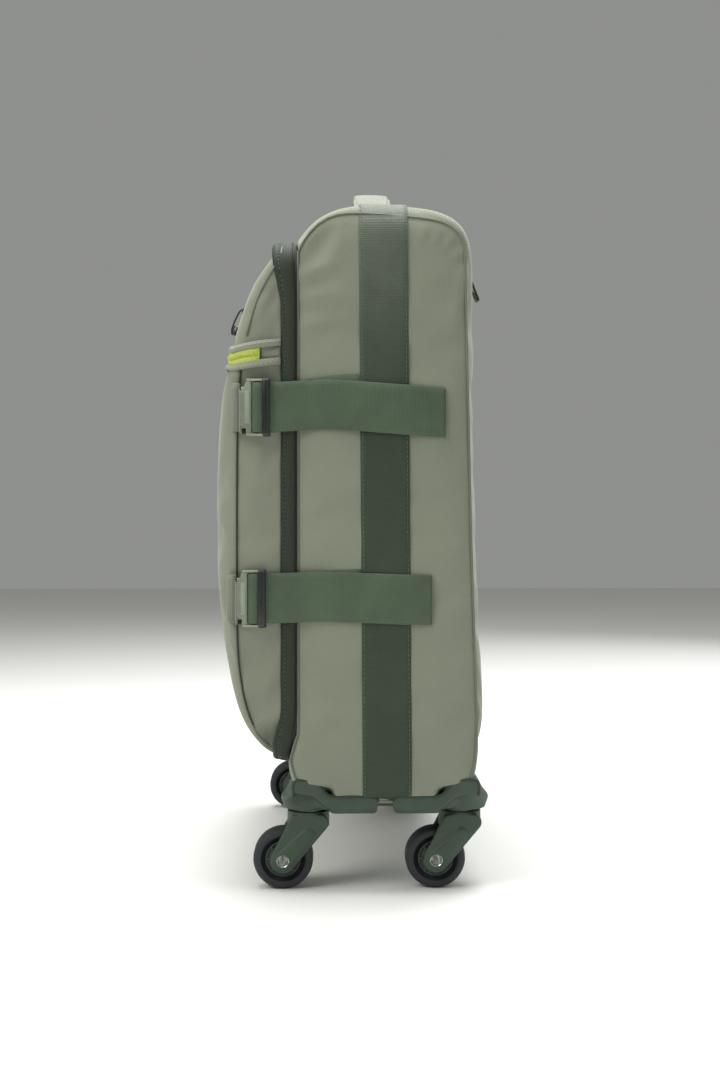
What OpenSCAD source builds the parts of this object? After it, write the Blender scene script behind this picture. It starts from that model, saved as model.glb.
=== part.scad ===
// Softside upright suitcase on four spinner casters.
// Frame: millimetres, +Z up, front towards -Y, origin on the floor under the middle.

/* [Case body] */
// Width across the two side panels
body_w = 350; // [340:1:370]
// Height of the crown of the body above the floor
body_top = 500; // [496:1:506]
// Height of the underside of the body above the floor
body_bottom = 63; // [62:1:64]
// How far the back stands behind the origin, at its top
back_top_y = 86; // [84:1:90]
// How far the back stands behind the origin, at its foot
back_foot_y = 95; // [92:1:98]
// Thickness of the padded fabric walls
wall = 5; // [4:1:6]

/* [Front lid] */
// Height of the lowest edge of the lid
lid_bottom = 97; // [95:1:99]
// Height of the highest edge of the lid
lid_top = 472; // [470:1:474]
// Plane in which the main zip closes
zip_y = -44; // [-45:1:-43]
// Width of each half of the main zip tape
tape_w = 6; // [5:1:7]
// How far forward the belly of the lid reaches at its side edges
lid_side_y = -82; // [-84:1:-80]
// How far forward the belly of the lid reaches beside its middle
lid_shoulder_y = -92; // [-94:1:-90]
// How far forward the belly of the lid reaches in its middle
lid_middle_y = -100; // [-102:1:-98]

/* [Compression straps] */
// Width of the webbing
webbing_w = 36; // [34:1:38]
// Height of the upper pair of straps
strap_upper_z = 351; // [340:1:360]
// Height of the lower pair of straps
strap_lower_z = 214; // [205:1:225]
// How far the lower buckles sit ahead of the upper ones
lower_buckle_lead = 3; // [0:1:4]

/* [Casters] */
// Diameter of a wheel
wheel_d = 44; // [43:1:45]
// Width of a wheel
wheel_w = 20; // [18:1:20]
// Distance between the left and right casters
caster_track = 300; // [290:1:304]
// Where the front casters swivel
caster_front_y = -31; // [-33:1:-29]
// Where the rear casters swivel
caster_rear_y = 81; // [79:1:83]
// How far a wheel trails ahead of its swivel
trail = 18.4; // [17:0.2:19]

/* [Trolley handle] */
// Distance between the two legs of the handle
leg_spacing = 140; // [130:1:150]
// Where the legs stand
leg_y = 60; // [59:1:61]

/* [Carry handle] */
// Height of the top of the carry handle
carry_top = 550; // [545:1:555]
// Width of its folded webbing
carry_w = 30; // [28:1:32]
// Where the middle of the centre band lies
band_y = 26; // [24:1:28]

/* [Hidden] */

// Colours
sage = [0.55, 0.58, 0.50];
forest = [0.20, 0.26, 0.18];
moulded = [0.25, 0.32, 0.25];
charcoal = [0.17, 0.18, 0.20];
steel = [0.70, 0.71, 0.72];
black = [0.06, 0.06, 0.06];
lime = [0.72, 0.76, 0.32];
grey = [0.45, 0.46, 0.46];

half_w = body_w / 2;          // side panel plane
seam_gap = 0.3;               // half of the gap in which the zip closes
run_gap = 0.4;                // gap between pieces that move past each other
fine = 0.05;                  // radial clearance of a running fit
smooth = 40;                  // facets of a rounded corner
round_fn = 64;                // facets of a turned part

body_front_y = zip_y + seam_gap + tape_w;   // where the main tape joins the body
lid_back_y = zip_y - seam_gap - tape_w;     // where the lid tape joins the lid
crown_in = 12;                // width of the rolled edge between side and gusset
crown_drop = 10;              // how far the side panel ends below the crown
back_in = 3.6;                // how far the side panel ends ahead of the back
front_corner_r = 40;          // rolled corner between top and front
back_corner_r = 28;           // rolled corner between top and back
foot_corner_r = 10;           // rolled corners at the foot
ring_r = 14;                  // corners of the zip, seen from the front
lid_flat_w = half_w * 0.4;    // half of the width over which the lid's front is flat
divider_y = -64;              // back face of the board inside the lid
divider_t = 2;                // its thickness

// Casters
caster_x = caster_track / 2;
axle_z = wheel_d / 2;
seat_z = 57.6;                // underside of the moulded guards
fork_r = 15.5;                // round top of the fork
fork_low_z = 44.8;            // underside of the round top of the fork
arm_in = wheel_w / 2 + 0.8;   // inner face of a fork arm
arm_out = 15.5;               // outer face of a fork arm
arm_end_r = 9.2;              // round end of a fork arm
axle_r = 4.4;                 // outside of the hollow axle
axle_bore_r = 3.7;            // hole through the axle
axle_rim_r = 5;               // rolled rim of the axle
rim_t = 0.6;                  // thickness of that rim
hub_r = 13;                   // joint between hub and tyre
kingpin_r = 4;                // pin that a fork swivels on
kingpin_head_r = 6;           // both ends of that pin
bearing_r = 12;               // ball race of the swivel
bearing_t = 3;                // its height
screw_r = 2;                  // screws that hold the guards
screw_head_r = 4;             // their heads
screw_head_t = 1.4;           // height of those heads
screw_x = 155;                // rows of those screws
rim_lift = 2.6;               // a kingpin's head sits this far above the seat

// Guards
guard_t = 2.6;                // how far a guard stands out of the side panel
guard_top_z = 83;             // its corner
guard_foot_z = 71;            // the top of its long foot
guard_gap = 3;                // gap between the front guard and the rear one
guard_split_y = 28;           // where that gap is
guard_inner_x = 118;          // how far a guard reaches in under the body
guard_start = 3;              // how far a guard starts ahead of the body

// Straps, measured out from the side panel
webbing_t = 1.4;              // thickness of the webbing
band_w = 36;                  // width of the centre band
buckle_half_h = 20.5;         // half of a buckle's height
plug_y = -72;                 // where plug and socket meet
tail_upper_y = 68;            // sewn end of an upper strap
tail_lower_y = 58;            // sewn end of a lower strap
hinge_clear_y = -20;          // straps on the hinge side start behind this plane
strap_end_gap = 0.5;          // a sewn strap ends this far ahead of the centre band

// Trolley handle
tube_outer = [22, 14];        // outside of the fixed tube
tube_middle = [19.2, 11.2];   // outside of the first stage
tube_inner = [16.4, 8.4];     // outside of the second stage
tube_low_z = [74, 80, 86];    // feet of the three stages
tube_wall = 1;
tube_r = 3;                   // rounding of their corners
stage_step = 1.5;             // each stage ends this far above the one outside it
cup_half_w = 92;
cup_half_d = 14;
cup_low_z = 474;
cup_top_z = 503;
cup_floor_z = 484;
grip_half_w = 85;
grip_half_d = 9.5;
grip_top_z = 509;
button_half_w = 16;
button_half_d = 5;
button_deep = 6;              // how far the button reaches into the grip

// Zips on the pockets
pocket_zip_w = 8;             // width of the slot of a plain zip
lime_zip_w = 12;              // width of the slot of the lime zip
upper_zip_z = 442;            // middle of the upper zip on the lid
upper_zip_half = 131;         // half of its length
lime_zip_z = 392;             // middle of the lime zip on the lid
slot_end_y = -65;             // its slot runs back along the sides to here
back_zip_z = 462;             // middle of the zip in the back
back_zip_half = 121;          // half of its length

// Zip sliders and pulls
slider_size = [9, 8, 3];      // a slider of the main zip
pocket_slider = [9, 3, 6];    // a slider of a pocket zip
back_slider_size = [9, 2.6, 6];
slider_x = 12;                // rest place of each main slider
main_slider_z = lid_top + run_gap;
pull_lift = 3.4;              // height of a pull over the foot of its slider
upper_slider_at = [60, -81.6, upper_zip_z];
lower_slider_at = [-60, -92.7, lime_zip_z];
back_slider_at = [100, 88.2, back_zip_z];
pull_stand = 1.3;             // gap between a front slider and its pull

// A plate across the case, from -x to +x, with its outline drawn in Y and Z
module across(x) {
    rotate([90, 0, 90]) translate([0, 0, -x]) linear_extrude(2 * x) children();
}

// A plate from front to back, with its outline drawn in X and Z
module along(y_low, y_high) {
    translate([0, y_high, 0]) rotate([90, 0, 0]) linear_extrude(y_high - y_low) children();
}

module round_rect(size, r) {
    offset(r = r, $fn = smooth) square([size[0] - 2 * r, size[1] - 2 * r], center = true);
}

// ---- outlines ----

// The body from the side: Y across, Z up
module body_outline(top_z, lid_z, back_y_in) {
    hull() {
        translate([body_front_y, lid_z - 1]) square([1, 1]);
        translate([body_front_y + front_corner_r + 2, top_z - front_corner_r])
            circle(front_corner_r, $fn = smooth);
        translate([back_top_y - back_y_in - back_corner_r, top_z - back_corner_r - 2])
            circle(back_corner_r, $fn = smooth);
        translate([back_foot_y - back_y_in - foot_corner_r, body_bottom + foot_corner_r + 14])
            circle(foot_corner_r, $fn = smooth);
        translate([back_foot_y - back_y_in - foot_corner_r - 6, body_bottom + foot_corner_r])
            circle(foot_corner_r, $fn = smooth);
        translate([body_front_y + foot_corner_r, body_bottom + foot_corner_r])
            circle(foot_corner_r, $fn = smooth);
    }
}

// The solid that the body fills, shrunk by inset on all sides but the front
module body_solid(inset) {
    hull() {
        across(half_w - inset) inset_outline(inset)
            body_outline(body_top - crown_drop, lid_top - crown_in, back_in);
        across(half_w - crown_in - inset) inset_outline(inset)
            body_outline(body_top, lid_top, 0);
    }
}

module inset_outline(inset) {
    offset(delta = -inset) children();
}

// The lid from the side; belly_y is how far it reaches forward, trim how much it is cut back
module lid_outline(belly_y, trim) {
    chin_r = 20;
    belly_r = 20;
    brow_r = 14;
    chin_y = belly_y * 0.8 - 10;       // front of the rolled lower edge
    belly_z = [235, 345];              // the belly is straight between these heights
    brow_y = belly_y * 0.62 - 14;      // front of the rolled upper edge
    brow_top = lid_top - 4 - trim;
    intersection() {
        hull() {
            translate([lid_back_y - 1, lid_bottom + trim])
                square([1, lid_top - lid_bottom - 2 * trim]);
            translate([chin_y + chin_r, lid_bottom + trim + chin_r])
                circle(chin_r, $fn = smooth);
            for (z = belly_z)
                translate([belly_y + belly_r, z]) circle(belly_r, $fn = smooth);
            translate([brow_y + brow_r, brow_top - brow_r]) circle(brow_r, $fn = smooth);
        }
        translate([lid_back_y - body_top, 0]) square(body_top);
    }
}

module lid_solid() {
    hull() {
        across(half_w) lid_outline(lid_side_y, crown_in);
        across(half_w - crown_in) lid_outline(lid_shoulder_y, 0);
        across(lid_flat_w) lid_outline(lid_middle_y, 0);
    }
}

// The space inside the lid's padded walls
module lid_cavity() {
    hull() {
        across(half_w - wall) inset_outline(wall) lid_outline(lid_side_y, crown_in);
        across(half_w - crown_in - wall) inset_outline(wall) lid_outline(lid_shoulder_y, 0);
        across(lid_flat_w - 2 * wall) inset_outline(wall) lid_outline(lid_middle_y, 0);
    }
}

// The opening that the main zip runs round, seen from the front
module zip_outline(inset) {
    translate([0, (lid_top + lid_bottom) / 2])
        round_rect([body_w - 2 * inset, lid_top - lid_bottom - 2 * inset], ring_r - inset / 2);
}

// A corner guard from the side; it runs from the corner at y = 0 towards +Y
module guard_outline(length) {
    step = 24;                // length of the tall corner
    slope = 20;               // length of its slope down to the foot
    lip = 7;                  // how far the lip flares out ahead
    lip_z = seat_z + 8;       // where the flare starts
    lip_r = 2;
    edge_r = 3;
    dip_r = 4;                // rounding between the slope and the foot
    difference() {
        hull() {
            translate([edge_r - lip, lip_z]) circle(edge_r, $fn = smooth);
            translate([2 * lip_r + 1 - lip, seat_z + lip_r]) circle(lip_r, $fn = smooth);
            translate([1, guard_top_z - edge_r]) circle(edge_r, $fn = smooth);
            translate([length - edge_r, guard_top_z - edge_r]) circle(edge_r, $fn = smooth);
            translate([length - 8, seat_z]) square(edge_r);
            translate([length - edge_r, seat_z + 5]) circle(edge_r, $fn = smooth);
        }
        hull() {
            translate([step, guard_top_z + 1]) square([0.5, 1]);
            translate([step + slope, guard_foot_z + dip_r]) circle(dip_r, $fn = smooth);
            for (z = [guard_foot_z + dip_r, guard_top_z + dip_r + 2])
                translate([length + dip_r, z]) circle(dip_r, $fn = smooth);
        }
    }
}

// ---- main compartment ----

module cup_space() {
    translate([-cup_half_w, leg_y - cup_half_d, cup_low_z])
        cube([2 * cup_half_w, 2 * cup_half_d, body_top]);
}

module main_shell() {
    color(sage) difference() {
        body_solid(0);
        body_solid(wall);
        along(body_front_y - 1, body_front_y + wall + 1) zip_outline(wall);
        cup_space();
        screw_places() screw_shape();
        back_zip_space();
    }
}

module lining_outline(inset) {
    play = 2.5;
    front_y = body_front_y + wall + 4;
    deep = leg_y - cup_half_d - 1 - front_y;
    intersection() {
        inset_outline(wall + play + inset)
            body_outline(body_top - crown_drop, lid_top - crown_in, back_in);
        translate([front_y, body_bottom]) square([deep - inset, body_top]);
    }
}

module main_lining() {
    skin = 1;
    outer_w = half_w - wall - 0.5;
    color(grey) difference() {
        across(outer_w) lining_outline(0);
        across(outer_w - skin) lining_outline(skin);
        along(body_front_y, body_front_y + wall + 4 + 2 * skin) zip_outline(wall + 6);
    }
}

module back_board() {
    board_t = 2;
    board_h = 380;
    low_z = 74;
    behind_legs = 16;
    inset = wall + 3;
    color(grey) translate([inset - half_w, leg_y + behind_legs, low_z])
        cube([body_w - 2 * inset, board_t, board_h]);
}

module base_board() {
    board_t = 2;
    deep = 97;
    inset = wall + 2;
    front_y = body_front_y + wall + 6;
    color(grey) difference() {
        translate([inset - half_w, front_y, body_bottom + wall + 0.1])
            cube([body_w - 2 * inset, deep, board_t]);
        screw_places() screw_shape();
    }
}

module rim_frame() {
    bar_w = 6;
    bar_t = 2;
    front_y = body_front_y + 1.5;
    inset = wall + run_gap;
    color(steel) along(front_y, front_y + bar_w) difference() {
        zip_outline(inset);
        zip_outline(inset + bar_t);
    }
}

module main_zip_tape() {
    color(forest) along(zip_y + seam_gap, body_front_y) difference() {
        zip_outline(0);
        zip_outline(wall);
    }
}

// ---- webbing on the outside ----

module centre_band(side) {
    t = 1.5;
    lift = 0.2;
    knee = half_w - crown_in;
    edge_z = body_top - crown_drop;
    inner_x = 88;
    outline = [
        [half_w + lift, guard_foot_z + 4], [half_w + lift + t, guard_foot_z + 4],
        [half_w + lift + t, edge_z + 1], [knee + 0.6, body_top + lift + t],
        [inner_x, body_top + lift + t], [inner_x, body_top + lift],
        [knee, body_top + lift], [half_w + lift, edge_z]
    ];
    mirror([side < 0 ? 1 : 0, 0, 0])
        along(band_y - band_w / 2, band_y + band_w / 2) polygon(outline);
}

module centre_bands() {
    color(forest) for (side = [-1, 1]) centre_band(side);
}

module carry_handle() {
    thick = 4;
    half_span = 84;
    set_forward = 7;          // its middle lies this far ahead of the centre band's
    foot_z = body_top + 2;
    rise = carry_top - foot_z;
    radius = (half_span * half_span + rise * rise) / (2 * rise);
    half_angle = asin(half_span / radius);
    color(sage) translate([0, band_y - set_forward + carry_w / 2, carry_top - radius])
        rotate([90, 0, 0]) rotate([0, 0, 90 - half_angle])
            rotate_extrude(angle = 2 * half_angle, $fn = round_fn)
                translate([radius - thick, 0]) square([thick, carry_w]);
}

// One strap as a hairpin: sewn layer, loop round the plug's bar, and the tail on top
module strap(z, lead, tail_y) {
    sewn = 0.5;
    tail = 2.3;
    loop = 8.8;
    front_y = -71.5 - lead;
    loop_back_y = -62.2 - lead;
    end_y = band_y - band_w / 2 - strap_end_gap;
    t = webbing_t;
    outline = [
        [sewn, end_y], [sewn, front_y], [loop, front_y],
        [loop, loop_back_y], [tail + t, loop_back_y], [tail + t, tail_y], [tail, tail_y],
        [tail, loop_back_y - t], [loop - t, loop_back_y - t], [loop - t, front_y + t],
        [sewn + t, front_y + t], [sewn + t, end_y]
    ];
    color(forest) translate([half_w, 0, z - webbing_w / 2])
        linear_extrude(webbing_w) polygon(outline);
}

module strap_upper_right() { strap(strap_upper_z, 0, tail_upper_y); }

module strap_lower_right() { strap(strap_lower_z, lower_buckle_lead, tail_lower_y); }

// The straps on the hinge side, without the stretch that bends with the lid
module straps_left() {
    tail_out = 3.7;           // outer face of the loose layer
    sewn_out = 1.9;           // outer face of the sewn layer
    sewn_y = band_y - band_w / 2 - strap_end_gap;
    for (s = [[strap_upper_z, tail_upper_y], [strap_lower_z, tail_lower_y]])
        for (layer = [[tail_out, s[1]], [sewn_out, sewn_y]])
            color(forest) translate([-half_w - layer[0], hinge_clear_y, s[0] - webbing_w / 2])
                cube([webbing_t, layer[1] - hinge_clear_y, webbing_w]);
}

// ---- buckles: x out from the side panel, y along the strap, z across it ----

// The socket takes the plug's nose from behind, and its edges leave two thumb notches
module socket() {
    length = 7;
    notch_r = 2.6;
    mouth = [4, 8, 32];
    difference() {
        translate([1, plug_y - 8.5, -buckle_half_h]) cube([8, length, 2 * buckle_half_h]);
        translate([3, plug_y - 7.8, -mouth[2] / 2]) cube(mouth);
        for (up = [-1, 1])
            translate([0, plug_y - 4, up * (buckle_half_h - 0.5)])
                rotate([0, 90, 0]) cylinder(10, notch_r, notch_r, $fn = smooth);
    }
}

// One bar across the plug: how far out it starts, where it lies along the strap, its size
module plug_bar(x, y, thick, wide) {
    translate([x, plug_y + y, -buckle_half_h]) cube([thick, wide, 2 * buckle_half_h]);
}

module plug() {
    bar_in = 2.7;
    rail_t = 2.1;
    rail_length = 16;
    frame_t = 5.3;
    prong = [3.2, 6.4, 5];
    prong_z = 12.5;
    plug_bar(bar_in, -1.2, frame_t, 1.4);
    plug_bar(bar_in, 2.3, 4.3, 5.7);
    plug_bar(4.2, 10.2, 4.6, 5.3);
    for (up = [-1, 1]) {
        translate([bar_in, plug_y - 0.5, up * (buckle_half_h - rail_t / 2) - rail_t / 2])
            cube([frame_t, rail_length, rail_t]);
        // the latching prongs of the nose
        translate([3.4, plug_y - 7.2, up * prong_z - prong[2] / 2]) cube(prong);
    }
}

module lid_hardware_places() {
    for (side = [-1, 1], row = [[strap_upper_z, 0], [strap_lower_z, -lower_buckle_lead]])
        mirror([side < 0 ? 1 : 0, 0, 0]) translate([half_w, row[1], row[0]]) children();
}

module buckle_tabs() {
    length = 3.9;
    thick = 6;
    color(sage) lid_hardware_places()
        translate([0.4, plug_y - 12.6, -webbing_w / 2]) cube([thick, length, webbing_w]);
}

module buckle_sockets() {
    color(sage) lid_hardware_places() socket();
}

module buckle_plugs_left() {
    color(black) for (row = [[strap_upper_z, 0], [strap_lower_z, -lower_buckle_lead]])
        mirror([1, 0, 0]) translate([half_w, row[1], row[0]]) plug();
}

module buckle_plug_upper_right() {
    color(black) translate([half_w, 0, strap_upper_z]) plug();
}

module buckle_plug_lower_right() {
    color(black) translate([half_w, -lower_buckle_lead, strap_lower_z]) plug();
}

// ---- corner guards ----

module guard_cut() {
    // the body fills this space
    translate([-half_w - 0.1, body_front_y - 0.2, body_bottom - 0.1])
        cube([body_w + 0.2, back_foot_y - body_front_y + 0.4, body_w]);
    // nothing between the casters
    translate([-guard_inner_x, -body_w, 0]) cube([2 * guard_inner_x, 2 * body_w, body_w]);
}

module swivel_seat_cut(x, y) {
    deep = 20;
    translate([x, y, seat_z - 1]) cylinder(deep, kingpin_r, kingpin_r, $fn = round_fn);
    translate([x, y, seat_z + rim_lift])
        cylinder(deep, kingpin_head_r, kingpin_head_r, $fn = round_fn);
}

module guards_front() {
    length = guard_split_y - guard_gap / 2 - body_front_y + guard_start;
    color(moulded) difference() {
        across(half_w + guard_t) translate([body_front_y - guard_start, 0])
            guard_outline(length);
        guard_cut();
        for (side = [-1, 1]) swivel_seat_cut(side * caster_x, caster_front_y);
        screw_places() screw_shape();
    }
}

module guards_rear() {
    start_y = back_foot_y + 1;
    color(moulded) difference() {
        across(half_w + guard_t) translate([start_y, 0]) mirror([1, 0])
            guard_outline(start_y - guard_split_y - guard_gap / 2);
        guard_cut();
        for (side = [-1, 1]) swivel_seat_cut(side * caster_x, caster_rear_y);
        screw_places() screw_shape();
    }
}

module screw_places() {
    for (side = [-1, 1], y = [-12, 14, 40, 60]) translate([side * screw_x, y, 0]) children();
}

module screw_shape() {
    length = 12.5;
    translate([0, 0, seat_z]) cylinder(length, screw_r, screw_r, $fn = round_fn);
}

module guard_screws() {
    color(steel) screw_places() {
        screw_shape();
        translate([0, 0, seat_z - screw_head_t])
            cylinder(screw_head_t, screw_head_r, screw_head_r, $fn = round_fn);
    }
}

// ---- casters: front ones at caster_front_y, rear ones at caster_rear_y ----

module caster_tops() {
    for (side = [-1, 1], y = [caster_front_y, caster_rear_y])
        translate([side * caster_x, y, 0]) children();
}

module kingpins() {
    foot_t = 1.2;
    head_t = 2;
    foot_z = fork_low_z - run_gap;
    head_z = seat_z + rim_lift;
    color(steel) caster_tops() {
        translate([0, 0, foot_z])
            cylinder(head_z - foot_z, kingpin_r, kingpin_r, $fn = round_fn);
        translate([0, 0, head_z])
            cylinder(head_t, kingpin_head_r, kingpin_head_r, $fn = round_fn);
        translate([0, 0, foot_z - foot_t])
            cylinder(foot_t, kingpin_head_r, kingpin_head_r, $fn = round_fn);
    }
}

module swivel_bearings() {
    color(steel) caster_tops() difference() {
        translate([0, 0, seat_z - bearing_t])
            cylinder(bearing_t, bearing_r, bearing_r, $fn = round_fn);
        translate([0, 0, seat_z - bearing_t - 1])
            cylinder(bearing_t + 2, kingpin_r + 1, kingpin_r + 1, $fn = round_fn);
    }
}

// One fork, drawn with its swivel on the Z axis
module fork_shape() {
    difference() {
        union() {
            translate([0, 0, fork_low_z]) cylinder(seat_z - run_gap - fork_low_z, fork_r, fork_r,
                $fn = round_fn);
            for (side = [-1, 1])
                translate([side * (arm_in + arm_out) / 2, 0, 0]) fork_arm(arm_out - arm_in);
        }
        translate([0, 0, fork_low_z - 1]) cylinder(20, kingpin_r + fine, kingpin_r + fine,
            $fn = round_fn);
        translate([0, 0, seat_z - bearing_t - run_gap])
            cylinder(bearing_t + 5, bearing_r + run_gap, bearing_r + run_gap, $fn = round_fn);
        translate([-20, -trail, axle_z]) rotate([0, 90, 0])
            cylinder(40, axle_r, axle_r, $fn = round_fn);
    }
}

// An arm as wide as the round top of the fork, narrowing to the axle
module fork_arm(t) {
    top_r = 6;
    top_z = fork_low_z + 4.6;
    top_y = [-8, 9];
    rotate([90, 0, 90]) translate([0, 0, -t / 2]) linear_extrude(t) hull() {
        translate([-trail, axle_z]) circle(arm_end_r, $fn = smooth);
        for (y = top_y) translate([y, top_z]) circle(top_r, $fn = smooth);
    }
}

module axle_shape() {
    length = arm_out + rim_t;
    rotate([0, 90, 0]) difference() {
        union() {
            translate([0, 0, -length]) cylinder(2 * length, axle_r, axle_r, $fn = round_fn);
            for (end = [-1, 1])
                translate([0, 0, end * (length - rim_t / 2) - rim_t / 2])
                    cylinder(rim_t, axle_rim_r, axle_rim_r, $fn = round_fn);
        }
        translate([0, 0, -length - 1]) cylinder(2 * length + 2, axle_bore_r, axle_bore_r,
            $fn = round_fn);
    }
}

module hub_shape() {
    face_dish = 1.6;
    boss = wheel_w / 2 + 0.3;         // the middle stands out to the fork
    boss_r = axle_r + 3;
    web = wheel_w / 2 - face_dish;
    rotate([0, 90, 0]) rotate_extrude($fn = round_fn) polygon([
        [axle_r + fine, -boss], [boss_r, -boss], [boss_r + 1, -web], [hub_r, -web],
        [hub_r, web], [boss_r + 1, web], [boss_r, boss], [axle_r + fine, boss]
    ]);
}

module tyre_shape() {
    groove = 2.5;             // a ring sunk this deep beside the hub, and as wide
    tread_round = 3;
    half = wheel_w / 2;
    r = wheel_d / 2;
    face_r = hub_r + groove;
    rotate([0, 90, 0]) rotate_extrude($fn = round_fn) polygon([
        [hub_r, -half + groove], [face_r, -half + groove], [face_r, -half],
        [r - tread_round, -half], [r, -half + tread_round],
        [r, half - tread_round], [r - tread_round, half],
        [face_r, half], [face_r, half - groove], [hub_r, half - groove]
    ]);
}

module at_swivel(side, y) { translate([side * caster_x, y, 0]) children(); }

module at_wheel(side, y) { translate([side * caster_x, y - trail, axle_z]) children(); }

module fork_front_right() { color(moulded) at_swivel(1, caster_front_y) fork_shape(); }
module fork_front_left() { color(moulded) at_swivel(-1, caster_front_y) fork_shape(); }
module fork_rear_right() { color(moulded) at_swivel(1, caster_rear_y) fork_shape(); }
module fork_rear_left() { color(moulded) at_swivel(-1, caster_rear_y) fork_shape(); }
module axle_front_right() { color(steel) at_wheel(1, caster_front_y) axle_shape(); }
module axle_front_left() { color(steel) at_wheel(-1, caster_front_y) axle_shape(); }
module axle_rear_right() { color(steel) at_wheel(1, caster_rear_y) axle_shape(); }
module axle_rear_left() { color(steel) at_wheel(-1, caster_rear_y) axle_shape(); }
module hub_front_right() { color(charcoal) at_wheel(1, caster_front_y) hub_shape(); }
module hub_front_left() { color(charcoal) at_wheel(-1, caster_front_y) hub_shape(); }
module hub_rear_right() { color(charcoal) at_wheel(1, caster_rear_y) hub_shape(); }
module hub_rear_left() { color(charcoal) at_wheel(-1, caster_rear_y) hub_shape(); }
module tyre_front_right() { color(charcoal) at_wheel(1, caster_front_y) tyre_shape(); }
module tyre_front_left() { color(charcoal) at_wheel(-1, caster_front_y) tyre_shape(); }
module tyre_rear_right() { color(charcoal) at_wheel(1, caster_rear_y) tyre_shape(); }
module tyre_rear_left() { color(charcoal) at_wheel(-1, caster_rear_y) tyre_shape(); }

// ---- trolley handle ----

module legs() {
    for (side = [-1, 1]) translate([side * leg_spacing / 2, leg_y, 0]) children();
}

module tube(size, low_z, high_z) {
    translate([0, 0, low_z]) linear_extrude(high_z - low_z) difference() {
        round_rect(size, tube_r);
        round_rect([size[0] - 2 * tube_wall, size[1] - 2 * tube_wall], tube_r - tube_wall);
    }
}

module outer_tubes() { color(steel) legs() tube(tube_outer, tube_low_z[0], cup_floor_z); }

module middle_tubes() {
    color(steel) legs() tube(tube_middle, tube_low_z[1], cup_floor_z + stage_step);
}

module inner_tubes() {
    color(steel) legs() tube(tube_inner, tube_low_z[2], cup_floor_z + 2 * stage_step);
}

module trolley_cup() {
    inner_w = grip_half_w + 1;
    inner_d = grip_half_d + 1;
    height = cup_top_z - cup_low_z;
    color(black) difference() {
        translate([0, leg_y, cup_low_z]) linear_extrude(height)
            square([2 * cup_half_w, 2 * cup_half_d], center = true);
        translate([0, leg_y, cup_floor_z]) linear_extrude(height)
            round_rect([2 * inner_w, 2 * inner_d], 2);
        legs() translate([0, 0, cup_low_z - 1]) linear_extrude(height)
            round_rect(tube_outer, tube_r);
    }
}

module trolley_grip() {
    low_z = cup_floor_z + 2 * stage_step;
    slot_w = button_half_w + run_gap;
    slot_d = button_half_d + run_gap;
    slot_deep = 2 * button_deep;
    color(black) difference() {
        translate([0, leg_y, 0]) along(-grip_half_d, grip_half_d)
            translate([0, (low_z + grip_top_z) / 2])
                round_rect([2 * grip_half_w, grip_top_z - low_z], 8);
        translate([-slot_w, leg_y - slot_d, grip_top_z - slot_deep])
            cube([2 * slot_w, 2 * slot_d, 2 * slot_deep]);
    }
}

module grip_button() {
    proud = 1.5;
    color(grey) translate([-button_half_w, leg_y - button_half_d, grip_top_z - button_deep])
        cube([2 * button_half_w, 2 * button_half_d, button_deep + proud]);
}

// ---- lid ----

// The slot of a zip round the front of the lid
module lid_slot(z, half_length, width) {
    translate([-half_length, -body_w, z - width / 2])
        cube([2 * half_length, body_w + slot_end_y, width]);
}

module upper_zip_space() { lid_slot(upper_zip_z, upper_zip_half, pocket_zip_w); }

module lower_zip_space() { lid_slot(lime_zip_z, body_w, lime_zip_w); }

module lid_wall() {
    difference() {
        lid_solid();
        lid_cavity();
        along(lid_back_y - wall - 1, lid_back_y + 1) zip_outline(wall);
    }
}

module lid_shell() {
    color(sage) difference() {
        lid_wall();
        upper_zip_space();
        lower_zip_space();
    }
}

module upper_pocket_zip() { color(forest) intersection() { lid_wall(); upper_zip_space(); } }

module lower_pocket_zip() { color(lime) intersection() { lid_wall(); lower_zip_space(); } }

module board_outline(inset) {
    size = [316, 290];
    middle_z = 262;
    corner_r = 16;
    translate([0, middle_z])
        round_rect([size[0] - 2 * inset, size[1] - 2 * inset], corner_r);
}

module lid_divider() {
    color(grey) along(divider_y - divider_t, divider_y) board_outline(0);
}

module lid_lining() {
    skin = 1;
    front_y = divider_y + 0.1;
    color(grey) along(front_y, front_y + skin) board_outline(1);
}

module lid_zip_tape() {
    color(forest) along(lid_back_y, zip_y - seam_gap) difference() {
        zip_outline(0);
        zip_outline(wall);
    }
}

// ---- zip sliders and their pulls ----

module slider_shape(size) {
    translate([-size[0] / 2, -size[1] / 2, 0]) cube(size);
}

// A flat loop of cord from the origin along +X, with a finger hole
module pull_loop(length, width, t) {
    cord = 2;
    hole_start = 4;
    linear_extrude(t) difference() {
        hull() for (x = [0, length]) translate([x, 0]) circle(width / 2, $fn = smooth);
        hull() for (x = [hole_start, length])
            translate([x, 0]) circle(width / 2 - cord, $fn = smooth);
    }
}

// The main pulls lie on the crown, away from each other
module main_pull() {
    length = 38;
    width = 9;
    t = 2.4;
    translate([slider_x + width / 2, zip_y, main_slider_z + pull_lift])
        pull_loop(length, width, t);
}

module main_slider_right() {
    color(black) translate([slider_x, zip_y, main_slider_z]) slider_shape(slider_size);
}

module main_slider_left() {
    color(black) translate([-slider_x, zip_y, main_slider_z]) slider_shape(slider_size);
}

module main_pull_right() { color(forest) main_pull(); }

module main_pull_left() { color(forest) mirror([1, 0, 0]) main_pull(); }

// A slider that stands on the front or the back of a panel
module flat_slider(at, size) {
    translate([at[0], at[1], at[2] - size[2] / 2]) slider_shape(size);
}

// The pull hangs down in front of its slider
module front_pull(at) {
    length = 14;
    width = 7;
    t = 2;
    hinge_drop = 1;
    front_y = at[1] - pocket_slider[1] / 2 - pull_stand;
    translate([at[0], front_y, at[2] - hinge_drop - width / 2])
        rotate([90, 90, 0]) pull_loop(length, width, t);
}

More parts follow.
